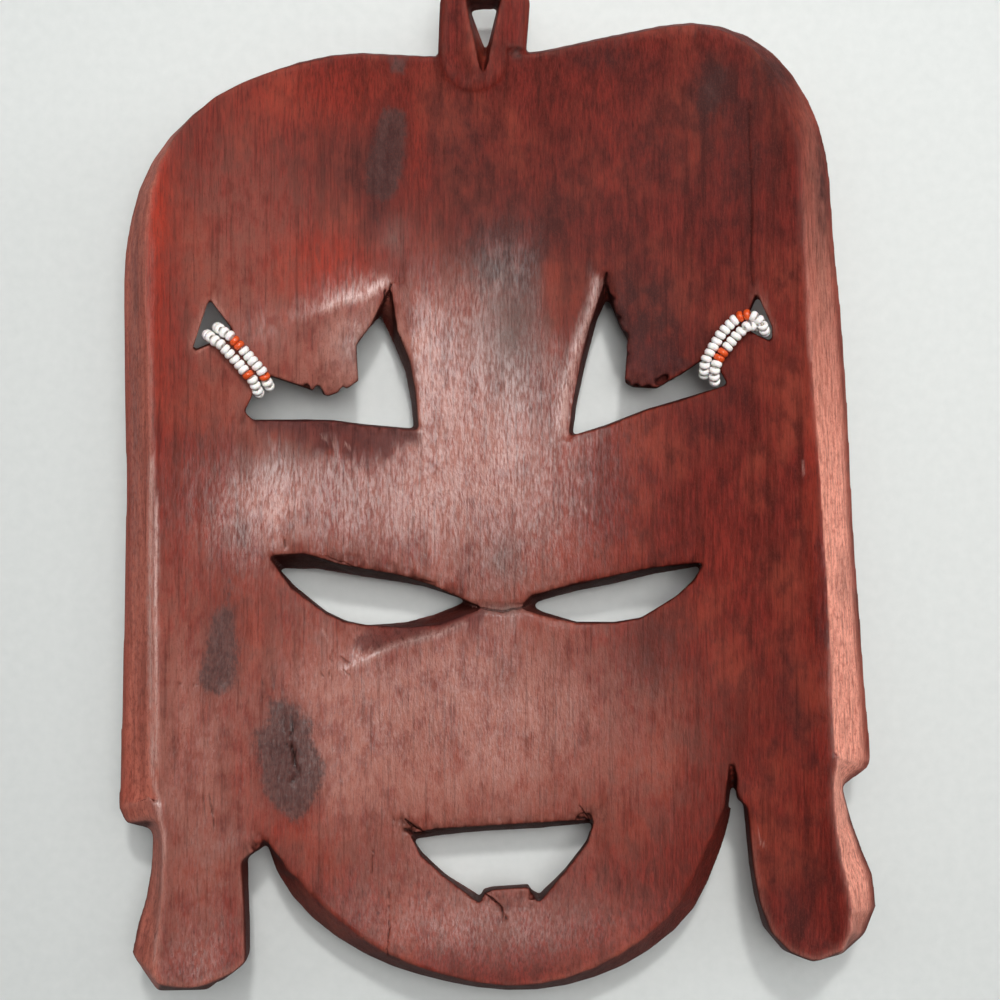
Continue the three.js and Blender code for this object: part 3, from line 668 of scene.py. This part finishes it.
# Where the stain lies deep, where it is a brighter red, and where it is rubbed thin: the middle of
# each soft area, its half width and half length, and how strong it is. The deep area under the lower
# edge of the left gap is painted shade, and the thin areas are painted lighter for part of the sheen.
DEEP_AND_SHADED = [
    (6, 40, 7, 24, 0.5), (-45, 12, 18, 4, 0.4), (-29, 88, 5, 13, 0.75), (56, 103, 5, 9, 1.6),
    (41, 44, 13, 15, 0.6), (52, 88, 34, 30, 0.48), (58, 32, 9, 16, 0.25), (-14, 98, 9, 10, 0.5),
    (12, 66, 7, 12, 0.35), (-38, 84, 13, 13, 0.7), (-10, 88, 15, 13, 0.7), (-4, 67, 15, 13, 0.8),
    (1, 55, 9, 9, 0.6), (17, 75, 11, 16, 0.5), (27, 112, 11, 4, 0.7), (72, 107, 9, 8, 0.8),
    (84.8, 76, 3, 16, 1.0), (40, -45, 10, 13, 0.5), (2, -51, 4, 5, 0.5), (3, -19, 6, 8, 0.45),
    (-93.2, 48, 1.7, 44, 0.45), (-91.5, -42, 2.2, 38, 0.25), (77, -20, 6, 22, 0.1),
    (76, -56, 6, 16, 0.6), (76, -105, 9, 18, 0.5), (-32, 71, 4, 7, 0.8), (-65.8, -12.5, 3, 5, 0.8),
    (62, 60, 10, 40, 0.2), (36, 47, 9, 9, 0.6), (35, 90, 24, 22, 0.35), (66, 90, 8, 20, 0.2),
    (55, 20, 12, 12, 0.4), (30, 60, 12, 14, 0.3), (-60, 5, 12, 6, 0.5), (40, 45, 14, 20, 0.3),
    (21, 53, 5, 10, 0.35), (-78, -95, 8, 14, 0.2), (90, -25, 3, 6, 0.4),
]
RED = [
    (-87, 75, 4, 24, 0.75), (-87, 38, 5, 30, 0.45), (-97.3, 40, 2.2, 60, 0.9), (-97.6, -40, 2, 50, 0.4),
    (-96.5, -78, 4, 9, 0.6), (-46, 58, 15, 11, 0.6), (-47, 102, 26, 10, 0.35), (-22, 88, 5, 12, 0.5),
    (-92.5, -127, 4, 5, 1.0), (-92, -103, 2, 20, 0.5), (58, -19, 8, 14, 0.15), (80.5, 20, 2, 80, 0.3),
    (-54, -88, 10, 6, 0.35), (-66, -74, 4, 12, 0.2), (30, 90, 20, 20, 0.25), (-81, -20, 8, 20, 0.15),
    (-62, -30, 8, 10, 0.1), (-20, -35, 12, 3, 0.5),
]
# Where the stain is rubbed thin, and where it is painted lighter for part of the sheen.
THIN_AND_SHEEN = [
    (-2, 15, 30, 52, 0.6), (-48, -3, 32, 24, 0.45), (-28, -66, 36, 36, 1.0), (5, -62, 30, 34, 0.75),
    (38, -66, 26, 34, 0.35), (-5, -112, 44, 14, 0.45), (-80, -85, 14, 52, 0.55),
    (-83, -38, 12, 32, 0.35), (-41, -72, 8, 14, 0.9), (-60, 30, 20, 16, 0.3), (-34, 40, 12, 12, 0.9),
    (-70, 60, 20, 40, 0.28), (-36, 34, 8, 9, 0.7), (-20, -4, 16, 18, 0.4), (0, 8, 14, 22, 0.4),
    (-18, 30, 9, 20, 0.8), (-58, -3, 9, 13, 0.9), (-62, -50, 14, 40, 0.15), (-38, 32, 18, 12, 0.45),
    (-50, 58, 36, 42, 0.25), (-45, -52, 16, 20, 0.25), (-74, -84, 20, 44, 0.2),
]
# Where the stain has gone a dull greyish brown.
BLEACHED = [
    (2.5, 43, 9, 17, 0.95), (2, -32.4, 8, 1.8, 0.9), (-35, 36, 9, 10, 0.6), (1.5, -19, 4, 6, 0.5),
    (-55, 9, 10, 4, 0.4), (-1, 58, 7, 6, 0.6), (-28, 66, 5, 5, 0.5),
]
# Where hands and cloth have polished the wax, and less than 0 where they haven't. Where these areas
# overlap, they add up.
POLISHED = [
    (-18, 34, 10, 20, 1.2), (-12, 2, 14, 16, 0.5), (-57, 2, 4, 12, 0.5), (4, 44, 7, 14, -0.5),
    (0, 26, 23, 22, 1.0), (1, -4, 27, 26, 1.0), (-44, -3, 32, 18, 1.25), (-66, -8, 12, 14, 0.45),
    (-30, -64, 34, 34, 1.0), (6, -66, 24, 28, 1.0), (-38, 51, 10, 4, 0.6), (-36, 38, 10, 8, 0.8),
    (-62, 42, 8, 6, 0.4), (42, -64, 14, 30, 0.3), (-78, -90, 12, 48, 0.7), (-94, 10, 3, 80, 0.6),
    (24, 32, 7, 26, 0.5), (-48, 11, 18, 4.5, -1.0), (20, 51, 8, 14, -0.85), (-5, -114, 40, 9, 0.35),
    (88, -40, 6, 60, 0.5), (4, 54, 12, 13, 0.5),
]
# Dull facets by the openings that the cloth doesn't reach, painted darker as shade, by their outlines.
DULL_SHADED = [
    [(-66, 20), (-52.1, 18.8), (-36.3, 17.8), (-21.5, 16.6), (-20, 12.1), (-26.2, 10.2),
     (-27.8, 7.6), (-34.2, 4.5), (-38.4, 6.6), (-41.5, 9.2), (-47.3, 9.7), (-52.1, 12.4), (-62.1, 15)],
    [(-2.5, -32), (-7.3, -33), (-15.2, -34.6), (-25.7, -36), (-33.6, -35.6), (-38.4, -41.7),
     (-33.1, -44.2), (-27.8, -43.1), (-20.4, -41), (-11.2, -37.9), (-3.6, -35)],
    [(28.2, 52.6), (33, 48), (40, 38), (52, 32.4), (44, 28.4), (39, 25.6), (34, 26.4), (33.4, 38)],
]
x, y, z = read_points(mask).T
facing = read_normals(mask)
height = skin_share(mask)


def soft_areas(areas):
    total = np.zeros_like(x)
    for middle_x, middle_y, half_width, half_length, strength in areas:
        away = np.hypot((x - middle_x) / half_width, (y - middle_y) / half_length)
        total = total + strength * np.exp(-(away**2) * 1.4)
    return np.clip(total, 0, 1.6) * soft_step(height, 0.1, 0.5)


# Where each coat of colour lies, painted light and shade among them, by the height, the slope and the
# bend of the skin and by the areas above.
outer = soft_step(rim_share(x, y, 84), 1.0, 1.06)
side_on = (1 - soft_step(np.abs(facing[:, 2]), 0.35, 0.85)) * soft_step(height, 0.03, 0.12)
# The right bevel faces the right window, and is painted lighter as lit.
right_bevel_lit = soft_step(facing[:, 0], 0.18, 0.42) * soft_step(x, 76, 82) * soft_step(height, 0.25, 0.5)
left_bevel = soft_step(-facing[:, 0], 0.2, 0.5) * soft_step(-x, 80, 88) * soft_step(height, 0.2, 0.4)
weights = {group.index: np.zeros(len(x)) for group in mask.vertex_groups}
for vertex in mask.data.vertices:
    for belongs in vertex.groups:
        weights[belongs.group][vertex.index] = belongs.weight
worn, recess_shade, sharp, ragged = (
    weights[mask.vertex_groups[name].index] for name in ("worn_edge", "recess_shade", "sharp_edge", "ragged")
)
mask.vertex_groups.clear()
knot_depth = np.max([depth_inside(outline, x, y) for outline in KNOTS], axis=0)
keep_value(mask, "knot_depth", np.clip(knot_depth, -6, 6) - 9 * (height < 0.5))
dull_and_shade = np.max([depth_inside(outline, x, y) for outline in DULL_SHADED], axis=0) + 0.25 * waves(x, y, 5, 8)
dull_and_shade = soft_step(dull_and_shade, -0.5, 0.8) * soft_step(height, 0.6, 0.9)
keep_value(mask, "dull_and_shade", dull_and_shade)
for name, areas in (("deep", DEEP_AND_SHADED), ("red", RED), ("thin", THIN_AND_SHEEN), ("bleached", BLEACHED)):
    keep_value(mask, name, np.minimum(1, soft_areas(areas)))
# The rubbed ridges are painted light as highlights, and the scratches are lighter with them.
rubbed_and_highlight = np.max([much * groove(line_distance(line, x, y), width) for line, width, much in RUBBED_HIGHLIGHTS], axis=0)
rubbed_and_highlight *= (1 - side_on) * soft_step(height, 0.6, 0.9)
keep_value(mask, "rubbed_and_highlight", np.maximum(rubbed_and_highlight, 0.6 * scratched))
polish = (soft_areas(POLISHED) + rubbed_and_highlight) * (1 - 0.85 * dull_and_shade)
keep_value(mask, "polished", polish * (1 - ragged) * (1 - side_on))
# The cracks and the torn fibres are painted dark as shade.
keep_value(mask, "crack", np.maximum(crack_shade, 0.75 * ragged))
on_front = 1 - soft_step(height, 0.1, 0.4)
worn_away = worn * outer * (1 - 0.8 * soft_step(y, 60, 95)) + 0.8 * worn * on_front
keep_value(mask, "worn_edge", np.clip(worn_away, 0, 1))
# The recesses of the face are painted darker as shade.
keep_value(mask, "recess_shade", recess_shade * on_front)
# The sharp edges of the openings on the back are painted dark as shade.
sharp *= (1 - outer) * soft_step(height, 0.5, 0.9) * (1 - soft_step(y, 108, 114))
keep_value(mask, "opening_edge_shade", sharp)
# The right bevel is painted lighter, as lit by the right window, most of all in its lower half: how
# light, by the height on the mask.
up_the_side = ([-122, -113, -104, 0, 38, 70, 100], [0.25, 0.5, 1, 0.96, 0.52, 0.3, 0.15])
keep_value(mask, "right_bevel_lit", right_bevel_lit * np.interp(y, *up_the_side))
keep_value(mask, "left_bevel", left_bevel)
bevels = np.maximum(left_bevel, right_bevel_lit)
# The steep walls of the openings, the chin and the lobes are painted near black: darker cut wood, and
# painted shade.
cut_across = (1 - outer * (np.abs(y - 15) < 94)) * (1 - bevels) * (1 - 0.8 * soft_step(y, 108, 114))
keep_value(mask, "cut_and_shade", side_on * cut_across)


def hex_colour(code):
    """A colour from its sRGB hex code, as the linear one that the shader takes."""
    shares = [int(code[i:i + 2], 16) / 255 for i in (1, 3, 5)]
    linear = [share / 12.92 if share <= 0.04045 else ((share + 0.055) / 1.055) ** 2.4 for share in shares]
    return linear + [1]


def add_node(material, kind, inputs=None, output=0, **settings):
    """Adds a node and gives one of its outputs. An input is a value, or an output to link to."""
    node = material.node_tree.nodes.new(kind)
    for name, value in settings.items():
        setattr(node, name, value)
    for name, value in (inputs or {}).items():
        if isinstance(value, bpy.types.NodeSocket):
            material.node_tree.links.new(value, node.inputs[name])
        else:
            node.inputs[name].default_value = value
    return node.outputs[output] if node.outputs else node


def new_material(name):
    """A material that has no nodes yet."""
    material = bpy.data.materials.new(name)
    material.use_nodes = True
    material.node_tree.nodes.clear()
    return material


# Stained and waxed close-grained wood. The stain lies unevenly along the upright grain and is rubbed
# thin in the middle of the back and on the edges. Dry wood shows through it nearly without shine, and
# the wax that is left gives a soft shine, broken into short strokes by the grain. Light and shade are
# painted into the colour as well: the lit right bevel, highlights on the rubbed ridges, part of the
# sheen where the stain is thin, and shade on the walls, the opening edges, the dull facets, the
# cracks, the recesses of the face and under the left gap.
wood = new_material("stained_waxed_wood")
place = add_node(wood, "ShaderNodeTexCoord", output="Object")
# The width and length of each streak in millimetres, its fineness, and the shift that sets it apart.
# The pores are far too fine to show, so the finest streaks stand for bundles of them.
STREAKS = {
    "specks": (0.35, 0.6, 2, 17), "fibres": (0.34, 3.2, 3, 7), "streaks": (0.6, 5.5, 5, 0),
    "bands": (3.2, 40, 4, 23), "lines": (0.8, 24, 3, 37), "mottle": (1.1, 1.8, 3, 9),
    "blotches": (4, 7, 5, 5), "clouds": (20, 30, 4, 3), "lumps": (1.3, 2.6, 4, 11),
    "pores": (0.42, 1.3, 3, 13), "strokes": (0.55, 2.8, 3, 29),
}
grain = {}
for name, (across, along, detail, shift) in STREAKS.items():
    drawn_out = add_node(wood, "ShaderNodeMapping", {
        "Vector": place, "Location": (shift, shift, 0),
        "Scale": (1 / (across * MM), 1 / (along * MM), 1 / (across * MM)),
    })
    grain[name] = add_node(wood, "ShaderNodeTexNoise", {
        "Vector": drawn_out, "Scale": 1.0, "Detail": detail, "Roughness": 0.6,
    }, "Fac")
lies = {
    name: add_node(wood, "ShaderNodeAttribute", output="Fac", attribute_name=name)
    for name in ("knot_depth", "deep", "red", "thin", "bleached", "dull_and_shade", "polished", "rubbed_and_highlight", "crack",
                 "worn_edge", "recess_shade", "opening_edge_shade", "right_bevel_lit", "left_bevel", "cut_and_shade")
}
wandering = add_node(wood, "ShaderNodeMapRange", {
    "Value": grain["mottle"], "From Min": 0.3, "From Max": 0.7, "To Min": -0.6, "To Max": 0.6,
})
knot_edge = add_node(wood, "ShaderNodeMath", {0: lies["knot_depth"], 1: wandering}, operation="ADD")
for name, low, high in (("halo", -5, -0.5), ("knot", -1.2, 1.2), ("knot_heart", 1.6, 4.6)):
    lies[name] = add_node(wood, "ShaderNodeMapRange", {
        "Value": knot_edge, "From Min": low, "From Max": high,
    }, interpolation_type="SMOOTHSTEP")
# Each coat of colour in turn: its colour and strength, where it lies, and the streaks that break it
# up, with the values between which they do so and the least that they leave of it.
COATS = [
    ("#77261e", 1.0, None, "streaks", 0.36, 0.66, 0),
    ("#91402f", 0.6, None, "clouds", 0.42, 0.66, 0),
    ("#3d1715", 0.62, None, "blotches", 0.46, 0.7, 0),
    ("#3f130d", 0.5, None, "bands", 0.48, 0.66, 0),
    # Where the stain is rubbed thin, painted lighter and pinker for part of the sheen.
    ("#a3695c", 0.95, "thin", "blotches", 0.3, 0.6, 0.4),
    ("#a8321f", 0.95, "red", "streaks", 0.32, 0.6, 0.35),
    ("#c46f5d", 0.88, "left_bevel", "bands", 0.36, 0.6, 0.5),
    ("#5e2420", 0.4, "left_bevel", "mottle", 0.46, 0.66, 0),
    # Painted light on the right bevel, with a darker mottle in it.
    ("#f4a691", 1.0, "right_bevel_lit", "streaks", 0.3, 0.6, 0.5),
    ("#a24d3e", 0.5, "right_bevel_lit", "mottle", 0.48, 0.68, 0),
    ("#7d6a64", 0.95, "bleached", "blotches", 0.3, 0.6, 0.65),
    ("#c98f81", 0.9, "worn_edge", "fibres", 0.3, 0.65, 0.4),
    # Painted shade on the steep cut walls.
    ("#3d100c", 0.94, "cut_and_shade", "fibres", 0.3, 0.7, 0.8),
    # Painted shade in the recesses of the face.
    ("#2b100d", 0.85, "recess_shade", "fibres", 0.3, 0.7, 0.6),
    # Painted shade along the edges of the openings.
    ("#240d0b", 0.8, "opening_edge_shade", "fibres", 0.3, 0.6, 0.5),
    # The dull facets, painted darker as shade.
    ("#4c2a2a", 0.75, "dull_and_shade", "blotches", 0.3, 0.6, 0.6),
    # Painted highlights along the rubbed ridges, and the lighter scratches.
    ("#c9a096", 0.85, "rubbed_and_highlight", "strokes", 0.3, 0.6, 0.3),
    ("#5f241d", 0.35, "halo", "streaks", 0.3, 0.6, 0.4),
    ("#5c3f3b", 0.92, "knot", "blotches", 0.2, 0.4, 0.85),
    ("#3a2422", 0.42, "knot", "mottle", 0.42, 0.62, 0),
    ("#3f2726", 0.4, "knot_heart", "blotches", 0.3, 0.6, 0.4),
    # Where the stain lies deep, and painted shade under the lower edge of the left gap.
    ("#3f2220", 0.9, "deep", "blotches", 0.3, 0.6, 0.4),
    # Painted shade in the cracks and among the torn fibres.
    ("#120605", 0.98, "crack", "fibres", 0, 0.1, 0),
    ("#9a4a3c", 0.2, None, "specks", 0.5, 0.74, 0),
    ("#260c0a", 0.3, None, "fibres", 0.52, 0.72, 0),
    ("#260c0a", 0.25, None, "specks", 0.52, 0.74, 0),
    ("#2c0e0b", 0.3, None, "lines", 0.52, 0.68, 0),
]
colour = add_node(wood, "ShaderNodeRGB")
colour.default_value = hex_colour("#5b1c16")
for code, strength, where, streak, low, high, least in COATS:
    amount = add_node(wood, "ShaderNodeMapRange", {
        "Value": grain[streak], "From Min": low, "From Max": high,
        "To Min": least * strength, "To Max": strength,
    }, interpolation_type="SMOOTHSTEP")
    if where:
        amount = add_node(wood, "ShaderNodeMath", {0: amount, 1: lies[where]}, operation="MULTIPLY")
    colour = add_node(wood, "ShaderNodeMix", {0: amount, 6: colour, 7: hex_colour(code)}, 2,
                      data_type="RGBA")
rough = add_node(wood, "ShaderNodeMapRange", {
    "Value": grain["blotches"], "From Min": 0.35, "From Max": 0.65, "To Min": 0.5, "To Max": 0.62,
})
for where, more in (("polished", -0.14), ("cut_and_shade", 0.08), ("crack", 0.2), ("knot", -0.06)):
    rough = add_node(wood, "ShaderNodeMath", {0: lies[where], 1: more, 2: rough}, operation="MULTIPLY_ADD")
# The wax lies in short strokes, and more thickly along every other band of the grain.
wax = add_node(wood, "ShaderNodeMapRange", {
    "Value": grain["strokes"], "From Min": 0.4, "From Max": 0.62, "To Min": 0.2, "To Max": 1.1,
})
wax_bands = add_node(wood, "ShaderNodeMapRange", {
    "Value": grain["bands"], "From Min": 0.38, "From Max": 0.6, "To Min": 1.12, "To Max": 0.72,
})
wax = add_node(wood, "ShaderNodeMath", {0: wax, 1: wax_bands}, operation="MULTIPLY")
wax = add_node(wood, "ShaderNodeMath", {0: wax, 1: lies["polished"]}, operation="MULTIPLY", use_clamp=True)
skin = add_node(wood, "ShaderNodeBump", {"Height": grain["lumps"], "Strength": 0.8, "Distance": 0.12 * MM})
skin = add_node(wood, "ShaderNodeBump", {
    "Height": grain["pores"], "Normal": skin, "Strength": 1.0, "Distance": 0.09 * MM,
})
surface = add_node(wood, "ShaderNodeBsdfPrincipled", {
    "Base Color": colour, "Roughness": rough, "IOR": 1.17, "Normal": skin,
    "Coat Weight": wax, "Coat Roughness": 0.28, "Coat IOR": 1.65, "Coat Normal": skin,
})
add_node(wood, "ShaderNodeOutputMaterial", {"Surface": surface})
mask.data.materials.append(wood)
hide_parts("mask")
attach(mask, "root")

# The bead rings
# Four short loops of thread, each strung full of small round glass beads and tied in a ring through
# a band hole, over the strip of wood and down the gap above the eye. Most beads are chalk white.

# The size of a bead with the room round it, in millimetres, and how much further out a point lies for
# each millimetre that it is deeper, because the routes are drawn as they look from above the mask.
BEAD = {"diameter": 3.1, "hole": 0.9, "length": 1.76, "gap": 0.8, "splay": 0.0024}
# Where a ring passes through the wood, its stations are at these shares of the thickness.
UPRIGHT = [0, 0.35, 0.65, 1]
# Each ring's route over the back, from its band hole to the gap above the eye.
ROUTES = {
    "left_upper": [(-72.3, 39.8), (-69.6, 37.9), (-64.8, 32.7), (-61.4, 28.6), (-59.9, 25.4)],
    "left_lower": [(-74.8, 37.8), (-71.9, 35.6), (-67.3, 30.6), (-64, 26.7), (-62.5, 23.6)],
    "right_upper": [(68.9, 39.4), (67.6, 42), (65, 43.5), (62, 42.6), (58.1, 38.6), (55.6, 34.8),
                    (53.9, 31), (53.8, 28.4)],
    "right_lower": [(67.2, 40.6), (64.4, 40.4), (62.2, 38.3), (59.7, 35.4), (57.6, 32.4), (56.5, 29.4),
                    (56.4, 26.6)],
}
# No two beads are alike: how far they are off their place and lean at most, and the smallest size.
UNEVEN = {"place": 0.09, "lean": 0.13, "size": 0.95}
THREAD_RADIUS = 0.22
# The orange beads of each ring, counted from the band hole along the strand that shows.
ORANGE = {"left_upper": (1, 2, 8), "left_lower": (6,), "right_upper": (2, 3), "right_lower": (5, 6)}


def ring_stations(route):
    """The points that a ring passes through, in millimetres, from the band hole over the strip."""
    clear = BEAD["diameter"] / 2 + BEAD["gap"]

    def skins(spot):
        across, up = np.array(spot, dtype=float)
        return float(face_height(across, up)), float(back_height(across, up))

    def at(spot, level):
        spread = 1 + BEAD["splay"] * (skins(spot)[1] - level)
        return Vector((spot[0] * spread - MIDDLE[0], spot[1] * spread - MIDDLE[1], level))

    def upright(spot, shares):
        low, high = skins(spot)
        return [at(spot, low + (high - low) * share) for share in shares]

    strip = route[1:-1]
    over = [at(spot, skins(spot)[1] + clear) for spot in strip]
    under = [at(spot, skins(spot)[0] - clear) for spot in strip]
    return over + upright(route[-1], UPRIGHT[::-1]) + under[::-1] + upright(route[0], UPRIGHT)


def round_curve(stations, steps=24):
    """A smooth closed line through the stations, as many short steps. It has no loops or kinks."""
    def between(one, other, start, end, now):
        return one * ((end - now) / (end - start)) + other * ((now - start) / (end - start))

    line = []
    count = len(stations)
    for number in range(count):
        near = [stations[(number + shift) % count] for shift in (-1, 0, 1, 2)]
        reached = [0]
        for one, other in zip(near, near[1:]):
            reached.append(reached[-1] + math.sqrt((other - one).length))
        for step in range(steps):
            now = reached[1] + (reached[2] - reached[1]) * step / steps
            first = [between(near[i], near[i + 1], reached[i], reached[i + 1], now) for i in range(3)]
            second = [between(first[i], first[i + 1], reached[i], reached[i + 2], now) for i in range(2)]
            line.append(between(*second, reached[1], reached[2], now))
    return line


def even_places(line, count):
    """Evenly spaced places on a closed line, each with the direction that the line takes there."""
    closed = np.array([list(spot) for spot in line + line[:1]])
    run = np.concatenate([[0], np.cumsum(np.linalg.norm(np.diff(closed, axis=0), axis=1))])

    def at(length):
        return Vector([float(np.interp(length % run[-1], run, closed[:, i])) for i in range(3)])

    pitch = run[-1] / count
    return [(at(i * pitch), (at(i * pitch + 0.3) - at(i * pitch - 0.3)).normalized()) for i in range(count)]


# Chalk-white and orange seed beads are opaque glass, cut from a drawn cane and tumbled smooth, so they
# shine softly and let a little light in.
GLASS = {"chalk_white_glass": ("#fefdfb", "#f5f2ee"), "orange_glass": ("#e8612c", "#d04a1e")}
glass = {}
for name, (light, dark) in GLASS.items():
    glass[name] = new_material(name)
    place = add_node(glass[name], "ShaderNodeTexCoord", output="Object")
    cloud = add_node(glass[name], "ShaderNodeTexNoise", {
        "Vector": place, "Scale": 1 / (1.3 * MM), "Detail": 2,
    })
    tone = add_node(glass[name], "ShaderNodeMix", {0: cloud, 6: hex_colour(light), 7: hex_colour(dark)}, 2,
                    data_type="RGBA")
    gloss = add_node(glass[name], "ShaderNodeMapRange", {"Value": cloud, "To Min": 0.12, "To Max": 0.34})
    surface = add_node(glass[name], "ShaderNodeBsdfPrincipled", {
        "Base Color": tone, "Roughness": gloss, "IOR": 1.52,
        "Subsurface Weight": 0.12, "Subsurface Scale": 0.6 * MM,
    })
    add_node(glass[name], "ShaderNodeOutputMaterial", {"Surface": surface})

# Waxed cotton thread, off-white and a little hairy. Its twist is drawn 0.25 mm apart.
cotton = new_material("waxed_cotton_thread")
place = add_node(cotton, "ShaderNodeTexCoord", output="Object")
twist = add_node(cotton, "ShaderNodeTexNoise", {"Vector": place, "Scale": 1 / (0.25 * MM), "Detail": 2})
tone = add_node(cotton, "ShaderNodeMix", {0: twist, 6: hex_colour("#d8d2c6"), 7: hex_colour("#b0a796")}, 2,
                data_type="RGBA")
gloss = add_node(cotton, "ShaderNodeMapRange", {"Value": twist, "To Min": 0.6, "To Max": 0.95})
surface = add_node(cotton, "ShaderNodeBsdfPrincipled", {"Base Color": tone, "Roughness": gloss})
add_node(cotton, "ShaderNodeOutputMaterial", {"Surface": surface})

# One bead, a ring of glass with flattened ends, which the rest are copies of.
outer_edge = BEAD["diameter"] / 2
thickness = (BEAD["diameter"] - BEAD["hole"]) / 4
bpy.ops.object.select_all(action="DESELECT")
bpy.ops.mesh.primitive_torus_add(
    major_segments=14, minor_segments=7,
    major_radius=(outer_edge - thickness) * MM, minor_radius=thickness * MM,
)
first_bead = bpy.context.object
bpy.ops.object.mode_set(mode="EDIT")
bpy.ops.mesh.select_all(action="SELECT")
bpy.ops.transform.resize(value=(1, 1, BEAD["length"] * 0.97 / (2 * thickness)))
bpy.ops.object.mode_set(mode="OBJECT")
bpy.ops.object.shade_smooth()

for name, route in ROUTES.items():
    line = round_curve(ring_stations(route))
    total = sum((other - one).length for one, other in zip(line, line[1:] + line[:1]))
    count = round(total / BEAD["length"])
    chance = np.random.default_rng(len(name) + count)
    beads = []
    for number, (spot, along) in enumerate(even_places(line, count)):
        bead = bpy.data.objects.new("bead", first_bead.data.copy())
        bpy.context.scene.collection.objects.link(bead)
        bead.location = (spot + Vector(chance.uniform(-UNEVEN["place"], UNEVEN["place"], 3).tolist())) * MM
        leaning = along + Vector(chance.uniform(-UNEVEN["lean"], UNEVEN["lean"], 3).tolist())
        bead.rotation_euler = leaning.to_track_quat("Z", "Y").to_euler()
        bead.scale = Vector((1, 1, 1)) * float(chance.uniform(UNEVEN["size"], 1.0))
        kind = "orange_glass" if number in ORANGE[name] else "chalk_white_glass"
        bead.data.materials.append(glass[kind])
        beads.append(bead)
    ring = join_all(beads)
    ring.name = "bead_ring_" + name
    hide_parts("beads_" + name)
    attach(ring, "root")

    curve = bpy.data.curves.new("thread_" + name, "CURVE")
    curve.dimensions = "3D"
    curve.bevel_depth = THREAD_RADIUS * MM
    curve.bevel_resolution = 2
    spline = curve.splines.new("POLY")
    spline.points.add(len(line) - 1)
    for point, spot in zip(spline.points, line):
        point.co = (*(spot * MM), 1)
    spline.use_cyclic_u = True
    thread = bpy.data.objects.new("thread_" + name, curve)
    bpy.context.scene.collection.objects.link(thread)
    take_up(thread)
    bpy.ops.object.convert(target="MESH")
    thread = bpy.context.object
    thread.data.materials.append(cotton)
    bpy.ops.object.shade_smooth()
    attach(thread, "root")
bpy.data.objects.remove(first_bead)

# The table and the light
# A pale grey table under a ceiling panel, with a weaker panel to the right, a row of strip lights and a
# lamp beyond the crown, and a window on each side. The camera looks straight down on the hollow back.

bpy.ops.mesh.primitive_plane_add(size=8, location=(0, 0, 0))
table = bpy.context.object
table.name = "table"
laminate = new_material("pale_laminate")
place = add_node(laminate, "ShaderNodeTexCoord", output="Object")
cloud = add_node(laminate, "ShaderNodeTexNoise", {"Vector": place, "Scale": 1 / (3 * MM), "Detail": 3})
tone = add_node(laminate, "ShaderNodeMix", {
    0: cloud, 6: hex_colour("#ced4d3"), 7: hex_colour("#d9dedd"),
}, 2, data_type="RGBA")
surface = add_node(laminate, "ShaderNodeBsdfPrincipled", {"Base Color": tone, "Roughness": 0.55})
add_node(laminate, "ShaderNodeOutputMaterial", {"Surface": surface})
table.data.materials.append(laminate)
table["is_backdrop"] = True


def soft_light(name, place, size, strength, colour):
    """An area light that looks at the mask, with its place and size in metres. Its strength is its
    brightness, whatever its size."""
    lamp = bpy.data.lights.new(name, "AREA")
    lamp.shape = "RECTANGLE"
    lamp.size, lamp.size_y = size
    lamp.energy = strength * math.pi * size[0] * size[1]
    lamp.color = hex_colour(colour)[:3]
    holder = bpy.data.objects.new(name, lamp)
    holder.location = place
    holder.rotation_euler = (Vector(place) - Vector((0, 0, 0.02))).to_track_quat("Z", "Y").to_euler()
    bpy.context.scene.collection.objects.link(holder)


soft_light("ceiling_panel", (0.10, 0.10, 1.0), (0.52, 0.34), 8.6, "#fffbf9")
soft_light("second_panel", (0.72, 0.10, 1.0), (0.4, 0.30), 1.2, "#fffbf9")
soft_light("strip_lights", (0.0, 0.42, 1.1), (2.0, 0.40), 1.8, "#fbfcfc")
soft_light("lamp", (0.08, 0.76, 1.35), (0.12, 0.12), 190, "#fffbf8")
soft_light("right_window", (1.3, 0.35, 0.62), (0.6, 0.6), 3.4, "#fffcfa")
soft_light("left_window", (-1.3, 0.3, 0.8), (0.6, 0.6), 1.0, "#f4f8ff")
world = bpy.data.worlds.new("room")
bpy.context.scene.world = world
world.use_nodes = True
world.node_tree.nodes["Background"].inputs["Color"].default_value = hex_colour("#f2f4f5")
world.node_tree.nodes["Background"].inputs["Strength"].default_value = 0.045

# The camera's place in millimetres, and the width that it takes in at the height of the back.
CAMERA_PLACE = (0.65, -3.45, 445)
BACK_HEIGHT = 25
FIELD = 260
lens = bpy.data.cameras.new("camera")
lens.sensor_width = 36
lens.lens = lens.sensor_width * (CAMERA_PLACE[2] - BACK_HEIGHT) / FIELD
lens.clip_start = 0.01
camera = bpy.data.objects.new("camera", lens)
camera.location = [distance * MM for distance in CAMERA_PLACE]
bpy.context.scene.collection.objects.link(camera)
bpy.context.scene.camera = camera
bpy.context.scene.view_settings.view_transform = "Standard"

low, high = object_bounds()
